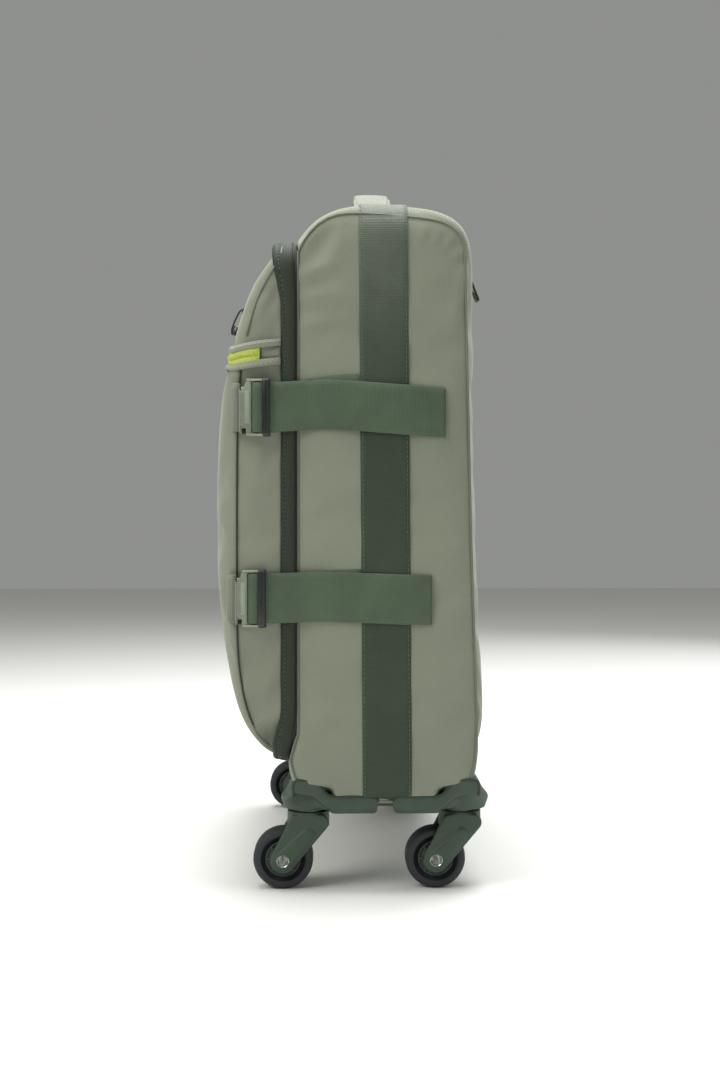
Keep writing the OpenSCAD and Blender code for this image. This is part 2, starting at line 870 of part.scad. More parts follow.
module upper_slider() { color(black) flat_slider(upper_slider_at, pocket_slider); }

module upper_pull() { color(black) front_pull(upper_slider_at); }

module lower_slider() { color(black) flat_slider(lower_slider_at, pocket_slider); }

module lower_pull() { color(black) front_pull(lower_slider_at); }

// ---- zip of the pocket in the back ----

module back_zip_space() {
    translate([-back_zip_half, leg_y, back_zip_z - pocket_zip_w / 2])
        cube([2 * back_zip_half, leg_y, pocket_zip_w]);
}

module back_zip_tape() {
    color(forest) intersection() {
        difference() {
            body_solid(0);
            body_solid(wall);
        }
        back_zip_space();
    }
}

module back_slider() { color(black) flat_slider(back_slider_at, back_slider_size); }

module back_pull() {
    length = 12;
    width = 9;
    t = 2.2;
    stand = 5;
    lean = 75;                // how steeply it hangs
    color(forest) translate([back_slider_at[0], back_slider_at[1] + stand, back_zip_z])
        rotate([0, lean, 90]) pull_loop(length, width, t);
}

// ---- assembly ----

main_shell();
main_lining();
back_board();
base_board();
rim_frame();
main_zip_tape();
centre_bands();
carry_handle();
strap_upper_right();
strap_lower_right();
straps_left();
guards_front();
guards_rear();
guard_screws();
kingpins();
swivel_bearings();
trolley_cup();
outer_tubes();
back_zip_tape();
lid_shell();
lid_lining();
lid_divider();
lid_zip_tape();
upper_pocket_zip();
lower_pocket_zip();
buckle_tabs();
buckle_sockets();
buckle_plugs_left();
buckle_plug_upper_right();
buckle_plug_lower_right();
fork_front_right();
axle_front_right();
hub_front_right();
tyre_front_right();
fork_front_left();
axle_front_left();
hub_front_left();
tyre_front_left();
fork_rear_right();
axle_rear_right();
hub_rear_right();
tyre_rear_right();
fork_rear_left();
axle_rear_left();
hub_rear_left();
tyre_rear_left();
middle_tubes();
inner_tubes();
trolley_grip();
grip_button();
main_slider_right();
main_pull_right();
main_slider_left();
main_pull_left();
upper_slider();
upper_pull();
lower_slider();
lower_pull();
back_slider();
back_pull();
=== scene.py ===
"""Softside upright suitcase: fabric, webbing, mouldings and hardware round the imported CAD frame."""

import math

import bmesh
import bpy
import numpy as np
from mathutils import Matrix, Vector, noise
from mathutils.bvhtree import BVHTree


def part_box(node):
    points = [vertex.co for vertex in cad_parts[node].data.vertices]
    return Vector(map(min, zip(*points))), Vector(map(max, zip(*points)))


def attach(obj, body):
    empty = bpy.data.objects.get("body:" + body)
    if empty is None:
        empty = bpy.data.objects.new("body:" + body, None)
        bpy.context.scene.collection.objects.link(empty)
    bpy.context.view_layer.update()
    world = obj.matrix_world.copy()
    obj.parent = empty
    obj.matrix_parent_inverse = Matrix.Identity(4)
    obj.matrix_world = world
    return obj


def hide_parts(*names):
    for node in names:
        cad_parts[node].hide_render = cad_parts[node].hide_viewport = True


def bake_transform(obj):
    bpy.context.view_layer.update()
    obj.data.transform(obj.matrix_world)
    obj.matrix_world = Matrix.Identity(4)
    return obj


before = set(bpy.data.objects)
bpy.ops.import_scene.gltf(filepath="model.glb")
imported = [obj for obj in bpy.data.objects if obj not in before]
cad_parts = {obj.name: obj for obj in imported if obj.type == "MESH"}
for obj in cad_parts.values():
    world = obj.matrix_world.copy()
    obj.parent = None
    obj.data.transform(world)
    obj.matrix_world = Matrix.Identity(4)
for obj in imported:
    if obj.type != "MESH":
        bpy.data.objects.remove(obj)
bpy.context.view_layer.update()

MM = 0.001
scene = bpy.context.scene

# ---------------------------------------------------------------- places taken from the frame

shell_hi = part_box("main_shell")[1]
lid_tape_lo, lid_tape_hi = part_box("lid_zip_tape")
main_tape_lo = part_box("main_zip_tape")[0]
band_lo, band_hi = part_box("centre_bands")
carry_lo, carry_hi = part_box("carry_handle")
upper_zip_lo, upper_zip_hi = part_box("upper_pocket_zip")
back_zip_lo, back_zip_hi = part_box("back_zip_tape")
strap_lo, strap_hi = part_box("strap_upper_right")
low_strap_lo, low_strap_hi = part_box("strap_lower_right")
strap_upper_z = (strap_lo.z + strap_hi.z) / 2
strap_lower_z = (low_strap_lo.z + low_strap_hi.z) / 2

HALF_W = shell_hi.x                     # side panel plane
ZIP_Y = (lid_tape_hi.y + main_tape_lo.y) / 2
LID_BACK = lid_tape_lo.y                # where the lid's fabric starts
TOP = shell_hi.z
ZIP_TOP = lid_tape_hi.z
ZIP_BOTTOM = lid_tape_lo.z
BAND_Y = (band_lo.y + band_hi.y) / 2
BAND_W = band_hi.y - band_lo.y
STRAP_W = 36 * MM
SIDES = ((1, "right"), (-1, "left"))


# ---------------------------------------------------------------- small helpers

def make_object(name, verts, faces, smooth=True, uvs=None):
    """A mesh object from lists of points and faces."""
    mesh = bpy.data.meshes.new(name)
    mesh.from_pydata([tuple(v) for v in verts], [], faces)
    if uvs is not None:
        layer = mesh.uv_layers.new(name="UVMap")
        for loop in mesh.loops:
            layer.data[loop.index].uv = uvs[loop.vertex_index]
    mesh.polygons.foreach_set("use_smooth", [smooth] * len(mesh.polygons))
    mesh.update()
    obj = bpy.data.objects.new(name, mesh)
    scene.collection.objects.link(obj)
    return obj


def shade_smooth(obj):
    obj.data.polygons.foreach_set("use_smooth", [True] * len(obj.data.polygons))


def apply_modifiers(obj):
    """Writes the piece's modifiers into its mesh."""
    bpy.context.view_layer.update()
    evaluated = obj.evaluated_get(bpy.context.evaluated_depsgraph_get())
    mesh = bpy.data.meshes.new_from_object(evaluated)
    obj.modifiers.clear()
    obj.data = mesh
    return obj


def add_modifier(obj, kind, **values):
    modifier = obj.modifiers.new(kind.lower(), kind)
    for key, value in values.items():
        setattr(modifier, key, value)
    return modifier


def join(objects, name):
    """Several meshes as one piece, each with its own materials."""
    bpy.ops.object.select_all(action="DESELECT")
    for obj in objects:
        obj.select_set(True)
    bpy.context.view_layer.objects.active = objects[0]
    bpy.ops.object.join()
    objects[0].name = name
    return objects[0]


def run_along(points):
    """How far along its line each point lies."""
    return np.concatenate([[0], np.cumsum(np.linalg.norm(np.diff(points, axis=0), axis=1))])


def resample(points, count):
    """The same line as count points at even steps."""
    pts = np.array(points, float)
    run = run_along(pts)
    at = np.linspace(0, run[-1], count)
    return np.stack([np.interp(at, run, pts[:, k]) for k in range(pts.shape[1])], axis=1)


def arc_points(centre, radius, start_deg, end_deg, count):
    """Points of an arc, from its two angles in degrees."""
    angles = np.radians(np.linspace(start_deg, end_deg, count))
    return [(centre[0] + radius * math.cos(a), centre[1] + radius * math.sin(a)) for a in angles]


def ease(t):
    t = np.clip(t, 0.0, 1.0)
    return t * t * (3 - 2 * t)


def grid_faces(n, k, closed_rows, closed_columns):
    """Four-sided faces between n rows of k points, numbered row by row."""
    faces = []
    for i in range(n if closed_rows else n - 1):
        for j in range(k if closed_columns else k - 1):
            a, b = i * k + j, i * k + (j + 1) % k
            c, d = ((i + 1) % n) * k + (j + 1) % k, ((i + 1) % n) * k + j
            faces.append((a, b, c, d))
    return faces


def sweep(name, path, section, closed=False, up=None):
    """A section of (across, out) points carried along a 3-D path. up gives the out direction
    at each path point; without it the section is turned as little as possible."""
    pts = [Vector(p) for p in path]
    n = len(pts)
    k = len(section)
    verts, uvs = [], []
    run = 0.0
    last_out = None
    for i, p in enumerate(pts):
        before = pts[(i - 1) % n] if closed or i else pts[i]
        after = pts[(i + 1) % n] if closed or i < n - 1 else pts[i]
        along = (after - before).normalized()
        if up is not None:
            out = Vector(up[i])
        elif last_out is None:
            out = along.orthogonal()
        else:
            out = last_out
        out = (out - along * out.dot(along)).normalized()
        last_out = out
        side = along.cross(out)
        if i:
            run += (p - pts[i - 1]).length
        for j, (a, o) in enumerate(section):
            verts.append(p + side * a + out * o)
            uvs.append((run, j / max(1, k - 1)))
    faces = grid_faces(n, k, closed, True)
    if not closed:
        faces.append(tuple(range(k))[::-1])
        faces.append(tuple((n - 1) * k + j for j in range(k)))
    return make_object(name, verts, faces, uvs=uvs)


def ellipse(wide, high, count=12):
    return [(wide / 2 * math.cos(2 * math.pi * i / count), high / 2 * math.sin(2 * math.pi * i / count))
            for i in range(count)]


def strap_section(width, thick, edge=0.5 * MM, columns=9):
    """A flat webbing section, rounded at both edges, with its underside at 0."""
    xs = np.linspace(-width / 2 + edge, width / 2 - edge, columns)
    top = [(x, thick) for x in xs]
    bottom = [(x, 0.0) for x in xs[::-1]]
    return [(-width / 2, thick / 2)] + top + [(width / 2, thick / 2)] + bottom


def stitches(name, path, out, pitch=3.2 * MM, length=2.1 * MM, width=0.55 * MM, lift=0.18 * MM):
    """A row of thread stitches along a path; out is the surface direction, one or per point."""
    pts = np.array(path, float)
    run = run_along(pts)
    outs = np.array(out, float)
    if outs.ndim == 1:
        outs = np.tile(outs, (len(pts), 1))
    verts, faces = [], []
    count = max(1, int(run[-1] / pitch))
    for s in range(count):
        mid = (s + 0.5) * pitch
        a, b, c = (np.array([np.interp(m, run, pts[:, k]) for k in range(3)])
                   for m in (mid - length / 2, mid, mid + length / 2))
        o = np.array([np.interp(mid, run, outs[:, k]) for k in range(3)])
        o /= np.linalg.norm(o) + 1e-12
        d = c - a
        d /= np.linalg.norm(d) + 1e-12
        side = np.cross(d, o)
        base = len(verts)
        for p, rise, wide in ((a, -0.3, 0.55), (b, 1.0, 1.0), (c, -0.3, 0.55)):
            centre = p + o * lift * rise
            for w, h in ((-1, 0), (0, 1), (1, 0), (0, -1)):
                verts.append(centre + side * w * wide * width / 2 + o * h * wide * width / 2.4)
        for ring in range(2):
            for q in range(4):
                r0, r1 = base + ring * 4, base + (ring + 1) * 4
                faces.append((r0 + q, r0 + (q + 1) % 4, r1 + (q + 1) % 4, r1 + q))
        faces.append((base + 3, base + 2, base + 1, base))
        faces.append((base + 8, base + 9, base + 10, base + 11))
    return make_object(name, verts, faces)


# ---------------------------------------------------------------- materials

def new_material(name, color, roughness, metallic=0.0):
    mat = bpy.data.materials.new(name)
    mat.use_nodes = True
    tree = mat.node_tree
    shader = tree.nodes["Principled BSDF"]
    shader.inputs["Base Color"].default_value = (*color, 1)
    shader.inputs["Roughness"].default_value = roughness
    shader.inputs["Metallic"].default_value = metallic
    return mat, tree, shader


def add_node(tree, kind, **values):
    node = tree.nodes.new(kind)
    for key, value in values.items():
        if key in node.inputs:
            node.inputs[key].default_value = value
        else:
            setattr(node, key, value)
    return node


def mix_color(tree, fac, a, b, blend="MIX"):
    """A colour mix; fac, a and b are sockets or values."""
    node = tree.nodes.new("ShaderNodeMix")
    node.data_type = "RGBA"
    node.blend_type = blend
    for socket, value in ((node.inputs[0], fac), (node.inputs[6], a), (node.inputs[7], b)):
        if isinstance(value, bpy.types.NodeSocket):
            tree.links.new(value, socket)
        elif isinstance(value, (tuple, list)):
            socket.default_value = (*value, 1) if len(value) == 3 else value
        else:
            socket.default_value = value
    return node.outputs[2]


def ramp(tree, source, low, high, low_value=0.0, high_value=1.0):
    node = add_node(tree, "ShaderNodeMapRange")
    node.inputs["From Min"].default_value = low
    node.inputs["From Max"].default_value = high
    node.inputs["To Min"].default_value = low_value
    node.inputs["To Max"].default_value = high_value
    tree.links.new(source, node.inputs["Value"])
    return node.outputs["Result"]


def math_node(tree, operation, a, b=None):
    node = tree.nodes.new("ShaderNodeMath")
    node.operation = operation
    for socket, value in zip(node.inputs, (a, b)):
        if isinstance(value, bpy.types.NodeSocket):
            tree.links.new(value, socket)
        elif value is not None:
            socket.default_value = value
    return node.outputs[0]


def object_coords(tree):
    return add_node(tree, "ShaderNodeTexCoord").outputs["Object"]


def noise_value(tree, coords, scale, detail=3.0, roughness=0.55):
    node = add_node(tree, "ShaderNodeTexNoise")
    node.inputs["Scale"].default_value = scale
    node.inputs["Detail"].default_value = detail
    node.inputs["Roughness"].default_value = roughness
    tree.links.new(coords, node.inputs["Vector"])
    return node.outputs["Fac"]


def wave_value(tree, coords, pitch, direction, distortion=0.0):
    """Parallel ridges a pitch apart; Blender's wave has 20 / (2 pi) ridges per unit at scale 1."""
    node = add_node(tree, "ShaderNodeTexWave")
    node.wave_type = "BANDS"
    node.bands_direction = direction
    per_unit = 20 / (2 * math.pi)
    diagonal = math.sqrt(3) / 2 if direction == "DIAGONAL" else 1.0
    node.inputs["Scale"].default_value = diagonal / (pitch * per_unit)
    node.inputs["Distortion"].default_value = distortion
    node.inputs["Detail"].default_value = 1.0
    node.inputs["Detail Scale"].default_value = 1.5
    tree.links.new(coords, node.inputs["Vector"])
    return node.outputs["Fac"]


def bump(tree, shader, height, distance, strength):
    node = add_node(tree, "ShaderNodeBump")
    node.inputs["Distance"].default_value = distance
    node.inputs["Strength"].default_value = strength
    tree.links.new(height, node.inputs["Height"])
    tree.links.new(node.outputs["Normal"], shader.inputs["Normal"])


def set_sheen(shader, weight, roughness, tint):
    shader.inputs["Sheen Weight"].default_value = weight
    shader.inputs["Sheen Roughness"].default_value = roughness
    shader.inputs["Sheen Tint"].default_value = (*tint, 1)


def twill_material(name, color, pitch=0.75 * MM):
    """Polyester twill: fine diagonal ribs crossed by the weft, with broad soft shade changes."""
    mat, tree, shader = new_material(name, color, 0.86)
    coords = object_coords(tree)
    ribs = wave_value(tree, coords, pitch, "DIAGONAL", 0.6)
    weft = noise_value(tree, coords, 1 / (0.9 * MM), 1.0)
    broad = noise_value(tree, coords, 14.0, 3.0)
    slub = noise_value(tree, coords, 260.0, 2.0)
    dark = tuple(c * 0.84 for c in color)
    light = tuple(min(1, c * 1.12) for c in color)
    woven = mix_color(tree, ramp(tree, ribs, 0.15, 0.85), dark, light)
    threads = mix_color(tree, ramp(tree, weft, 0.3, 0.7, 0.0, 0.42), woven, tuple(c * 0.86 for c in color))
    worn = mix_color(tree, ramp(tree, broad, 0.35, 0.7, 0.0, 0.30), threads,
                     tuple(min(1, c * 1.18) for c in color))
    final = mix_color(tree, ramp(tree, slub, 0.6, 0.75, 0.0, 0.18), worn, light)
    tree.links.new(final, shader.inputs["Base Color"])
    height = math_node(tree, "ADD", ribs, math_node(tree, "MULTIPLY", weft, 0.8))
    bump(tree, shader, height, 0.06 * MM, 0.5)
    rough = ramp(tree, broad, 0.3, 0.7, 0.80, 0.92)
    tree.links.new(rough, shader.inputs["Roughness"])
    set_sheen(shader, 0.22, 0.45, (0.9, 0.92, 0.85))
    shader.inputs["Specular IOR Level"].default_value = 0.25
    return mat


def webbing_material(name, color, pitch=1.15 * MM, contrast=0.6, fade=None):
    """Plain-woven webbing: fine ribs across its length crossed by warp threads, with pale flecks
    where they meet. fade is (height, height, colour): the cloth takes that colour between them, a painted
    highlight, lighter higher up where the top light falls."""
    mat, tree, shader = new_material(name, color, 0.62)
    coords = add_node(tree, "ShaderNodeTexCoord").outputs["UV"]
    spots = object_coords(tree)
    ribs = wave_value(tree, coords, pitch, "X", 0.5)
    warp = wave_value(tree, coords, pitch * 0.92, "Y", 0.9)
    threads = noise_value(tree, spots, 1 / (0.7 * MM), 2.0)
    broad = noise_value(tree, spots, 32.0, 3.0)
    body = color
    if fade is not None:
        # painted highlight: the colour turns lighter with height, as the top light falls
        split = add_node(tree, "ShaderNodeSeparateXYZ")
        tree.links.new(spots, split.inputs["Vector"])
        body = mix_color(tree, ramp(tree, split.outputs["Z"], fade[0], fade[1]), color, fade[2])
    dark = mix_color(tree, 1.0, body, (contrast, contrast, contrast), "MULTIPLY")
    light = mix_color(tree, 1.0, body, (1.7, 1.7, 1.7), "MULTIPLY")
    warp_share = math_node(tree, "ADD", math_node(tree, "MULTIPLY", warp, 0.6), 0.4)
    weave = math_node(tree, "MULTIPLY", ribs, warp_share)
    base = mix_color(tree, ramp(tree, weave, 0.08, 0.6), dark, body)
    flecks = math_node(tree, "MULTIPLY", ramp(tree, weave, 0.55, 0.9), ramp(tree, threads, 0.42, 0.66))
    flecked = mix_color(tree, math_node(tree, "MULTIPLY", flecks, 0.8), base, light)
    worn = mix_color(tree, ramp(tree, broad, 0.4, 0.7, 0.0, 0.22), flecked, light)
    tree.links.new(worn, shader.inputs["Base Color"])
    height = math_node(tree, "ADD", weave, math_node(tree, "MULTIPLY", threads, 0.5))
    bump(tree, shader, height, 0.25 * MM, 0.7)
    set_sheen(shader, 0.2, 0.4, (0.75, 0.85, 0.75))
    return mat


def tape_material(name, color):
    """Zip tape: close herringbone threads and a soft sheen."""
    mat, tree, shader = new_material(name, color, 0.72)
    coords = object_coords(tree)
    ribs = wave_value(tree, coords, 0.8 * MM, "DIAGONAL", 1.2)
    threads = noise_value(tree, coords, 1 / (0.8 * MM), 2.0)
    broad = noise_value(tree, coords, 24.0, 2.0)
    dark = tuple(c * 0.6 for c in color)
    light = tuple(min(1, c * 1.45) for c in color)
    base = mix_color(tree, ramp(tree, ribs, 0.2, 0.8), dark, color)
    flecked = mix_color(tree, ramp(tree, threads, 0.5, 0.75, 0.0, 0.5), base, light)
    final = mix_color(tree, ramp(tree, broad, 0.4, 0.7, 0.0, 0.25), flecked, light)
    tree.links.new(final, shader.inputs["Base Color"])
    bump(tree, shader, math_node(tree, "ADD", ribs, threads), 0.14 * MM, 0.7)
    set_sheen(shader, 0.06, 0.4, (0.75, 0.85, 0.7))
    return mat


def moulded_material(name, color, rough=0.55, grain=0.7 * MM, wear=0.35):
    """Grained moulding, paler and smoother on worn edges."""
    mat, tree, shader = new_material(name, color, rough)
    coords = object_coords(tree)
    fine = noise_value(tree, coords, 1 / grain, 2.0)
    broad = noise_value(tree, coords, 40.0, 4.0, 0.7)
    scuff = noise_value(tree, coords, 420.0, 3.0, 0.7)
    geometry = add_node(tree, "ShaderNodeNewGeometry")
    edges = ramp(tree, geometry.outputs["Pointiness"], 0.51, 0.60, 0.0, wear)
    light = tuple(min(1, c * 1.9 + 0.015) for c in color)
    dark = tuple(c * 0.72 for c in color)
    base = mix_color(tree, ramp(tree, broad, 0.35, 0.7), dark, tuple(c * 1.12 for c in color))
    scuffed = mix_color(tree, ramp(tree, scuff, 0.62, 0.78, 0.0, 0.25), base, light)
    worn = mix_color(tree, edges, scuffed, light)
    tree.links.new(worn, shader.inputs["Base Color"])
    tree.links.new(ramp(tree, broad, 0.3, 0.75, rough - 0.08, rough + 0.1), shader.inputs["Roughness"])
    bump(tree, shader, fine, 0.09 * MM, 0.6)
    return mat


def metal_material(name, color, rough, brush_pitch=None):
    mat, tree, shader = new_material(name, color, rough, 1.0)
    coords = object_coords(tree)
    smear = noise_value(tree, coords, 90.0, 4.0, 0.7)
    tree.links.new(ramp(tree, smear, 0.3, 0.75, rough * 0.75, rough * 1.35), shader.inputs["Roughness"])
    shade = mix_color(tree, ramp(tree, smear, 0.3, 0.7), tuple(c * 0.86 for c in color), color)
    tree.links.new(shade, shader.inputs["Base Color"])
    if brush_pitch:
        stretched = add_node(tree, "ShaderNodeMapping")
        stretched.inputs["Scale"].default_value = (1, 1, 0.02)
        tree.links.new(coords, stretched.inputs["Vector"])
        lines = noise_value(tree, stretched.outputs["Vector"], 1 / brush_pitch, 2.0)
        bump(tree, shader, lines, 0.03 * MM, 0.4)
    else:
        bump(tree, shader, smear, 0.03 * MM, 0.3)
    return mat


def rubber_material(name, color):
    """Tyre rubber with road dust rubbed into the tread."""
    mat, tree, shader = new_material(name, color, 0.7)
    coords = object_coords(tree)
    grit = noise_value(tree, coords, 900.0, 3.0, 0.7)
    broad = noise_value(tree, coords, 55.0, 3.0, 0.6)
    dusty = mix_color(tree, ramp(tree, broad, 0.45, 0.8, 0.0, 0.16), color, (0.10, 0.10, 0.09))
    tree.links.new(mix_color(tree, ramp(tree, grit, 0.60, 0.78, 0.0, 0.22), dusty, (0.10, 0.10, 0.095)),
                   shader.inputs["Base Color"])
    tree.links.new(ramp(tree, broad, 0.3, 0.7, 0.55, 0.85), shader.inputs["Roughness"])
    bump(tree, shader, grit, 0.06 * MM, 0.5)
    return mat


def floor_material():
    mat, tree, shader = new_material("pale_floor", (0.80, 0.80, 0.78), 0.8)
    coords = object_coords(tree)
    shade = noise_value(tree, coords, 2.0, 2.0)
    tree.links.new(mix_color(tree, shade, (0.79, 0.79, 0.77), (0.82, 0.82, 0.80)),
                   shader.inputs["Base Color"])
    return mat


SAGE = (0.202, 0.219, 0.168)
FOREST = (0.010, 0.018, 0.008)
WEBBING_GREEN = (0.056, 0.090, 0.050)
BAND_GREEN = (0.022, 0.038, 0.017)
MOULDED = (0.031, 0.056, 0.034)
mat_twill = twill_material("sage_twill_cloth", SAGE)
# a slightly lighter copy of the twill for raised folds, hems and tabs: painted highlight
mat_folded_highlight = twill_material("sage_folded_cloth", tuple(c * 1.05 for c in SAGE), 1.0 * MM)
# a darker copy of the twill for the piping: painted shade along the seams
mat_piping_shade = twill_material("sage_piping_cloth", tuple(c * 0.72 for c in SAGE), 0.9 * MM)
# near-black laid where only shadow falls: painted shadow in seam lines, slits, folds and holes
mat_shadow = moulded_material("deep_seam", (0.020, 0.026, 0.017), 0.85, 0.5 * MM, 0.0)
mat_thread = moulded_material("sage_thread", (0.34, 0.36, 0.29), 0.7, 0.4 * MM, 0.0)
mat_green_thread = moulded_material("green_thread", (0.09, 0.14, 0.08), 0.7, 0.4 * MM, 0.0)
mat_webbing = webbing_material("strap_webbing", WEBBING_GREEN)
# the band turns lighter from 0.37 to 0.475 m up: a painted highlight where the top light falls
mat_band = webbing_material("band_webbing", BAND_GREEN, 1.3 * MM, 0.55, (0.37, 0.475, (0.085, 0.103, 0.074)))
mat_tape = tape_material("forest_tape_cloth", FOREST)
mat_lime = tape_material("lime_tape_cloth", (0.50, 0.56, 0.10))
mat_moulded = moulded_material("moulded_green_plastic", MOULDED)
mat_black = moulded_material("black_gloss_plastic", (0.012, 0.013, 0.015), 0.28, 1.2 * MM, 0.25)
mat_buckle = moulded_material("sage_buckle_plastic", (0.195, 0.220, 0.168), 0.42, 0.8 * MM, 0.3)
mat_grey = moulded_material("grey_plastic_soft", (0.22, 0.23, 0.23), 0.5)
mat_hub = moulded_material("charcoal_hub", (0.026, 0.034, 0.031), 0.5, 0.8 * MM, 0.2)
mat_tyre = rubber_material("charcoal_tyre", (0.017, 0.021, 0.024))
# near-black for the tyre's groove: painted shade in the hollow
mat_groove_shade = moulded_material("tyre_groove", (0.006, 0.007, 0.010), 0.6, 0.8 * MM, 0.0)
mat_axle = metal_material("turned_axle", (0.70, 0.70, 0.69), 0.25)
mat_steel = metal_material("plated_steel", (0.55, 0.55, 0.56), 0.35)
mat_tube = metal_material("anodised_tube", (0.58, 0.59, 0.60), 0.32, 0.6 * MM)
mat_slider = moulded_material("coated_slider", (0.020, 0.021, 0.022), 0.35, 1.0 * MM, 0.4)
mat_cord = webbing_material("black_cord_braid", (0.016, 0.017, 0.016), 1.2 * MM)
mat_lining = twill_material("grey_lining_cloth", (0.13, 0.135, 0.13), 0.8 * MM)
mat_board = moulded_material("inner_board", (0.07, 0.07, 0.07), 0.6)


def paint(obj, *materials):
    obj.data.materials.clear()
    for mat in materials:
        obj.data.materials.append(mat)
    return obj


def place(obj, body, slot_name, *nodes):
    """The piece rides on a body and may replace CAD nodes; slot_name is not used."""
    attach(obj, body)
    if nodes:
        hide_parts(*nodes)
    return obj


def dress(obj, mat, body, slot_name, *nodes):
    """The piece gets its material and its place in one go."""
    paint(obj, mat)
    return place(obj, body, slot_name, *nodes)


# ---------------------------------------------------------------- camera, light and floor

CAMERA_AT = (1.150, -0.018, 0.256)
CAMERA_AIM = Vector((0.150, 0.0072, 0.256))
CAMERA_LENS = 45.0                      # on a 36 mm sensor height
# area lights: name, place, aim, size, power, colour
LIGHTS = (("key", (0.85, -1.05, 1.35), (0, 0, 0.30), (0.9, 0.9), 17, (1.0, 0.99, 0.95)),
          ("top", (-0.1, 0.05, 1.9), (0, 0, 0.3), (1.2, 1.2), 56, (1, 1, 1)),
          ("fill", (1.8, 1.3, 0.7), (0, 0, 0.25), (1.4, 1.4), 3.2, (0.93, 0.97, 1.0)),
          ("back", (-1.6, 1.2, 1.2), (0, 0, 0.3), (1.4, 1.4), 12, (1, 1, 1)))


def set_camera():
    """Level, beside the case, at the distance that the near and far casters give."""
    data = bpy.data.cameras.new("camera")
    data.sensor_fit = "VERTICAL"
    data.sensor_height = 36.0
    data.lens = CAMERA_LENS
    obj = bpy.data.objects.new("camera", data)
    scene.collection.objects.link(obj)
    obj.location = CAMERA_AT
    obj.rotation_euler = (CAMERA_AIM - obj.location).to_track_quat("-Z", "Y").to_euler()
    scene.camera = obj


def area_light(name, at, aim, size, power, color):
    data = bpy.data.lights.new(name, "AREA")
    data.shape = "RECTANGLE"
    data.size = size[0]
    data.size_y = size[1]
    data.energy = power
    data.color = color
    obj = bpy.data.objects.new(name, data)
    scene.collection.objects.link(obj)
    obj.location = at
    obj.rotation_euler = (Vector(aim) - Vector(at)).to_track_quat("-Z", "Y").to_euler()


def set_light():
    world = bpy.data.worlds.new("studio")
    scene.world = world
    world.use_nodes = True
    background = world.node_tree.nodes["Background"]
    background.inputs["Color"].default_value = (0.95, 0.97, 0.93, 1)
    background.inputs["Strength"].default_value = 0.29
    for light in LIGHTS:
        area_light(*light)


def set_floor():
    size = 6.0
    obj = make_object("floor", [(-size, -size, 0), (size, -size, 0), (size, size, 0), (-size, size, 0)],
                      [(0, 1, 2, 3)], smooth=False)
    paint(obj, floor_material())


scene.view_settings.view_transform = "Standard"
set_camera()
set_light()
set_floor()


# ---------------------------------------------------------------- fabric skins

STEP = 7.0 * MM
ROLL = 18 * MM                          # width of the rolled edge beside each side seam


def mm(points):
    return np.array(points, float) * MM


def paired_path(keys_a, keys_b, step, passes=4):
    """Two outlines with matching corners, cut into the same steps and softened a little."""
    a, b = mm(keys_a), mm(keys_b)
    row_a, row_b = [a[0]], [b[0]]
    for i in range(len(a) - 1):
        count = max(1, int(round(np.linalg.norm(a[i + 1] - a[i]) / step)))
        for s in range(1, count + 1):
            row_a.append(a[i] + (a[i + 1] - a[i]) * s / count)
            row_b.append(b[i] + (b[i + 1] - b[i]) * s / count)
    row_a, row_b = np.array(row_a), np.array(row_b)
    for _ in range(passes):
        for row in (row_a, row_b):
            row[1:-1] = (row[:-2] + 2 * row[1:-1] + row[2:]) / 4
    return row_a, row_b


class Skin:
    """Collects grids of points into one mesh, with a pin weight for each point."""

    def __init__(self):
        self.points, self.faces, self.pins = [], [], []

    def grid(self, rows, pins):
        base = len(self.points)
        height, width = len(rows), len(rows[0])
        for row, pin_row in zip(rows, pins):
            self.points.extend(row)
            self.pins.extend(pin_row)
        for i in range(height - 1):
            for j in range(width - 1):
                a = base + i * width + j
                self.faces.append((a, a + 1, a + width + 1, a + width))

    def build(self, name, weld=0.3 * MM):
        obj = make_object(name, self.points, self.faces)
        group = obj.vertex_groups.new(name="pins")
        for i, pin in enumerate(self.pins):
            group.add([i], float(pin), "REPLACE")
        bm = bmesh.new()
        bm.from_mesh(obj.data)
        bmesh.ops.remove_doubles(bm, verts=bm.verts, dist=weld)
        bmesh.ops.dissolve_degenerate(bm, edges=bm.edges, dist=1e-5)
        bmesh.ops.recalc_face_normals(bm, faces=bm.faces)
        bm.to_mesh(obj.data)
        bm.free()
        return obj


def point_outwards(obj, centre):
    """Flips the whole skin if its faces look at the centre."""
    mesh = obj.data
    total = 0.0
    for face in mesh.polygons:
        total += (face.center - Vector(centre)).dot(face.normal) * face.area
    if total < 0:
        mesh.flip_normals()


def cross_columns(flat_half, step):
    """(x, blend) over the width: 0 on the side seam, 1 on the flat part between the rolled edges."""
    turns = np.linspace(0, math.pi / 2, 6)
    right = [(flat_half + (HALF_W - flat_half) * math.cos(t), math.sin(t)) for t in turns]
    count = int(round(2 * flat_half / step))
    middle = [(flat_half - 2 * flat_half * s / count, 1.0) for s in range(1, count)]
    left = [(-x, w) for x, w in right[::-1]]
    return right + middle + left


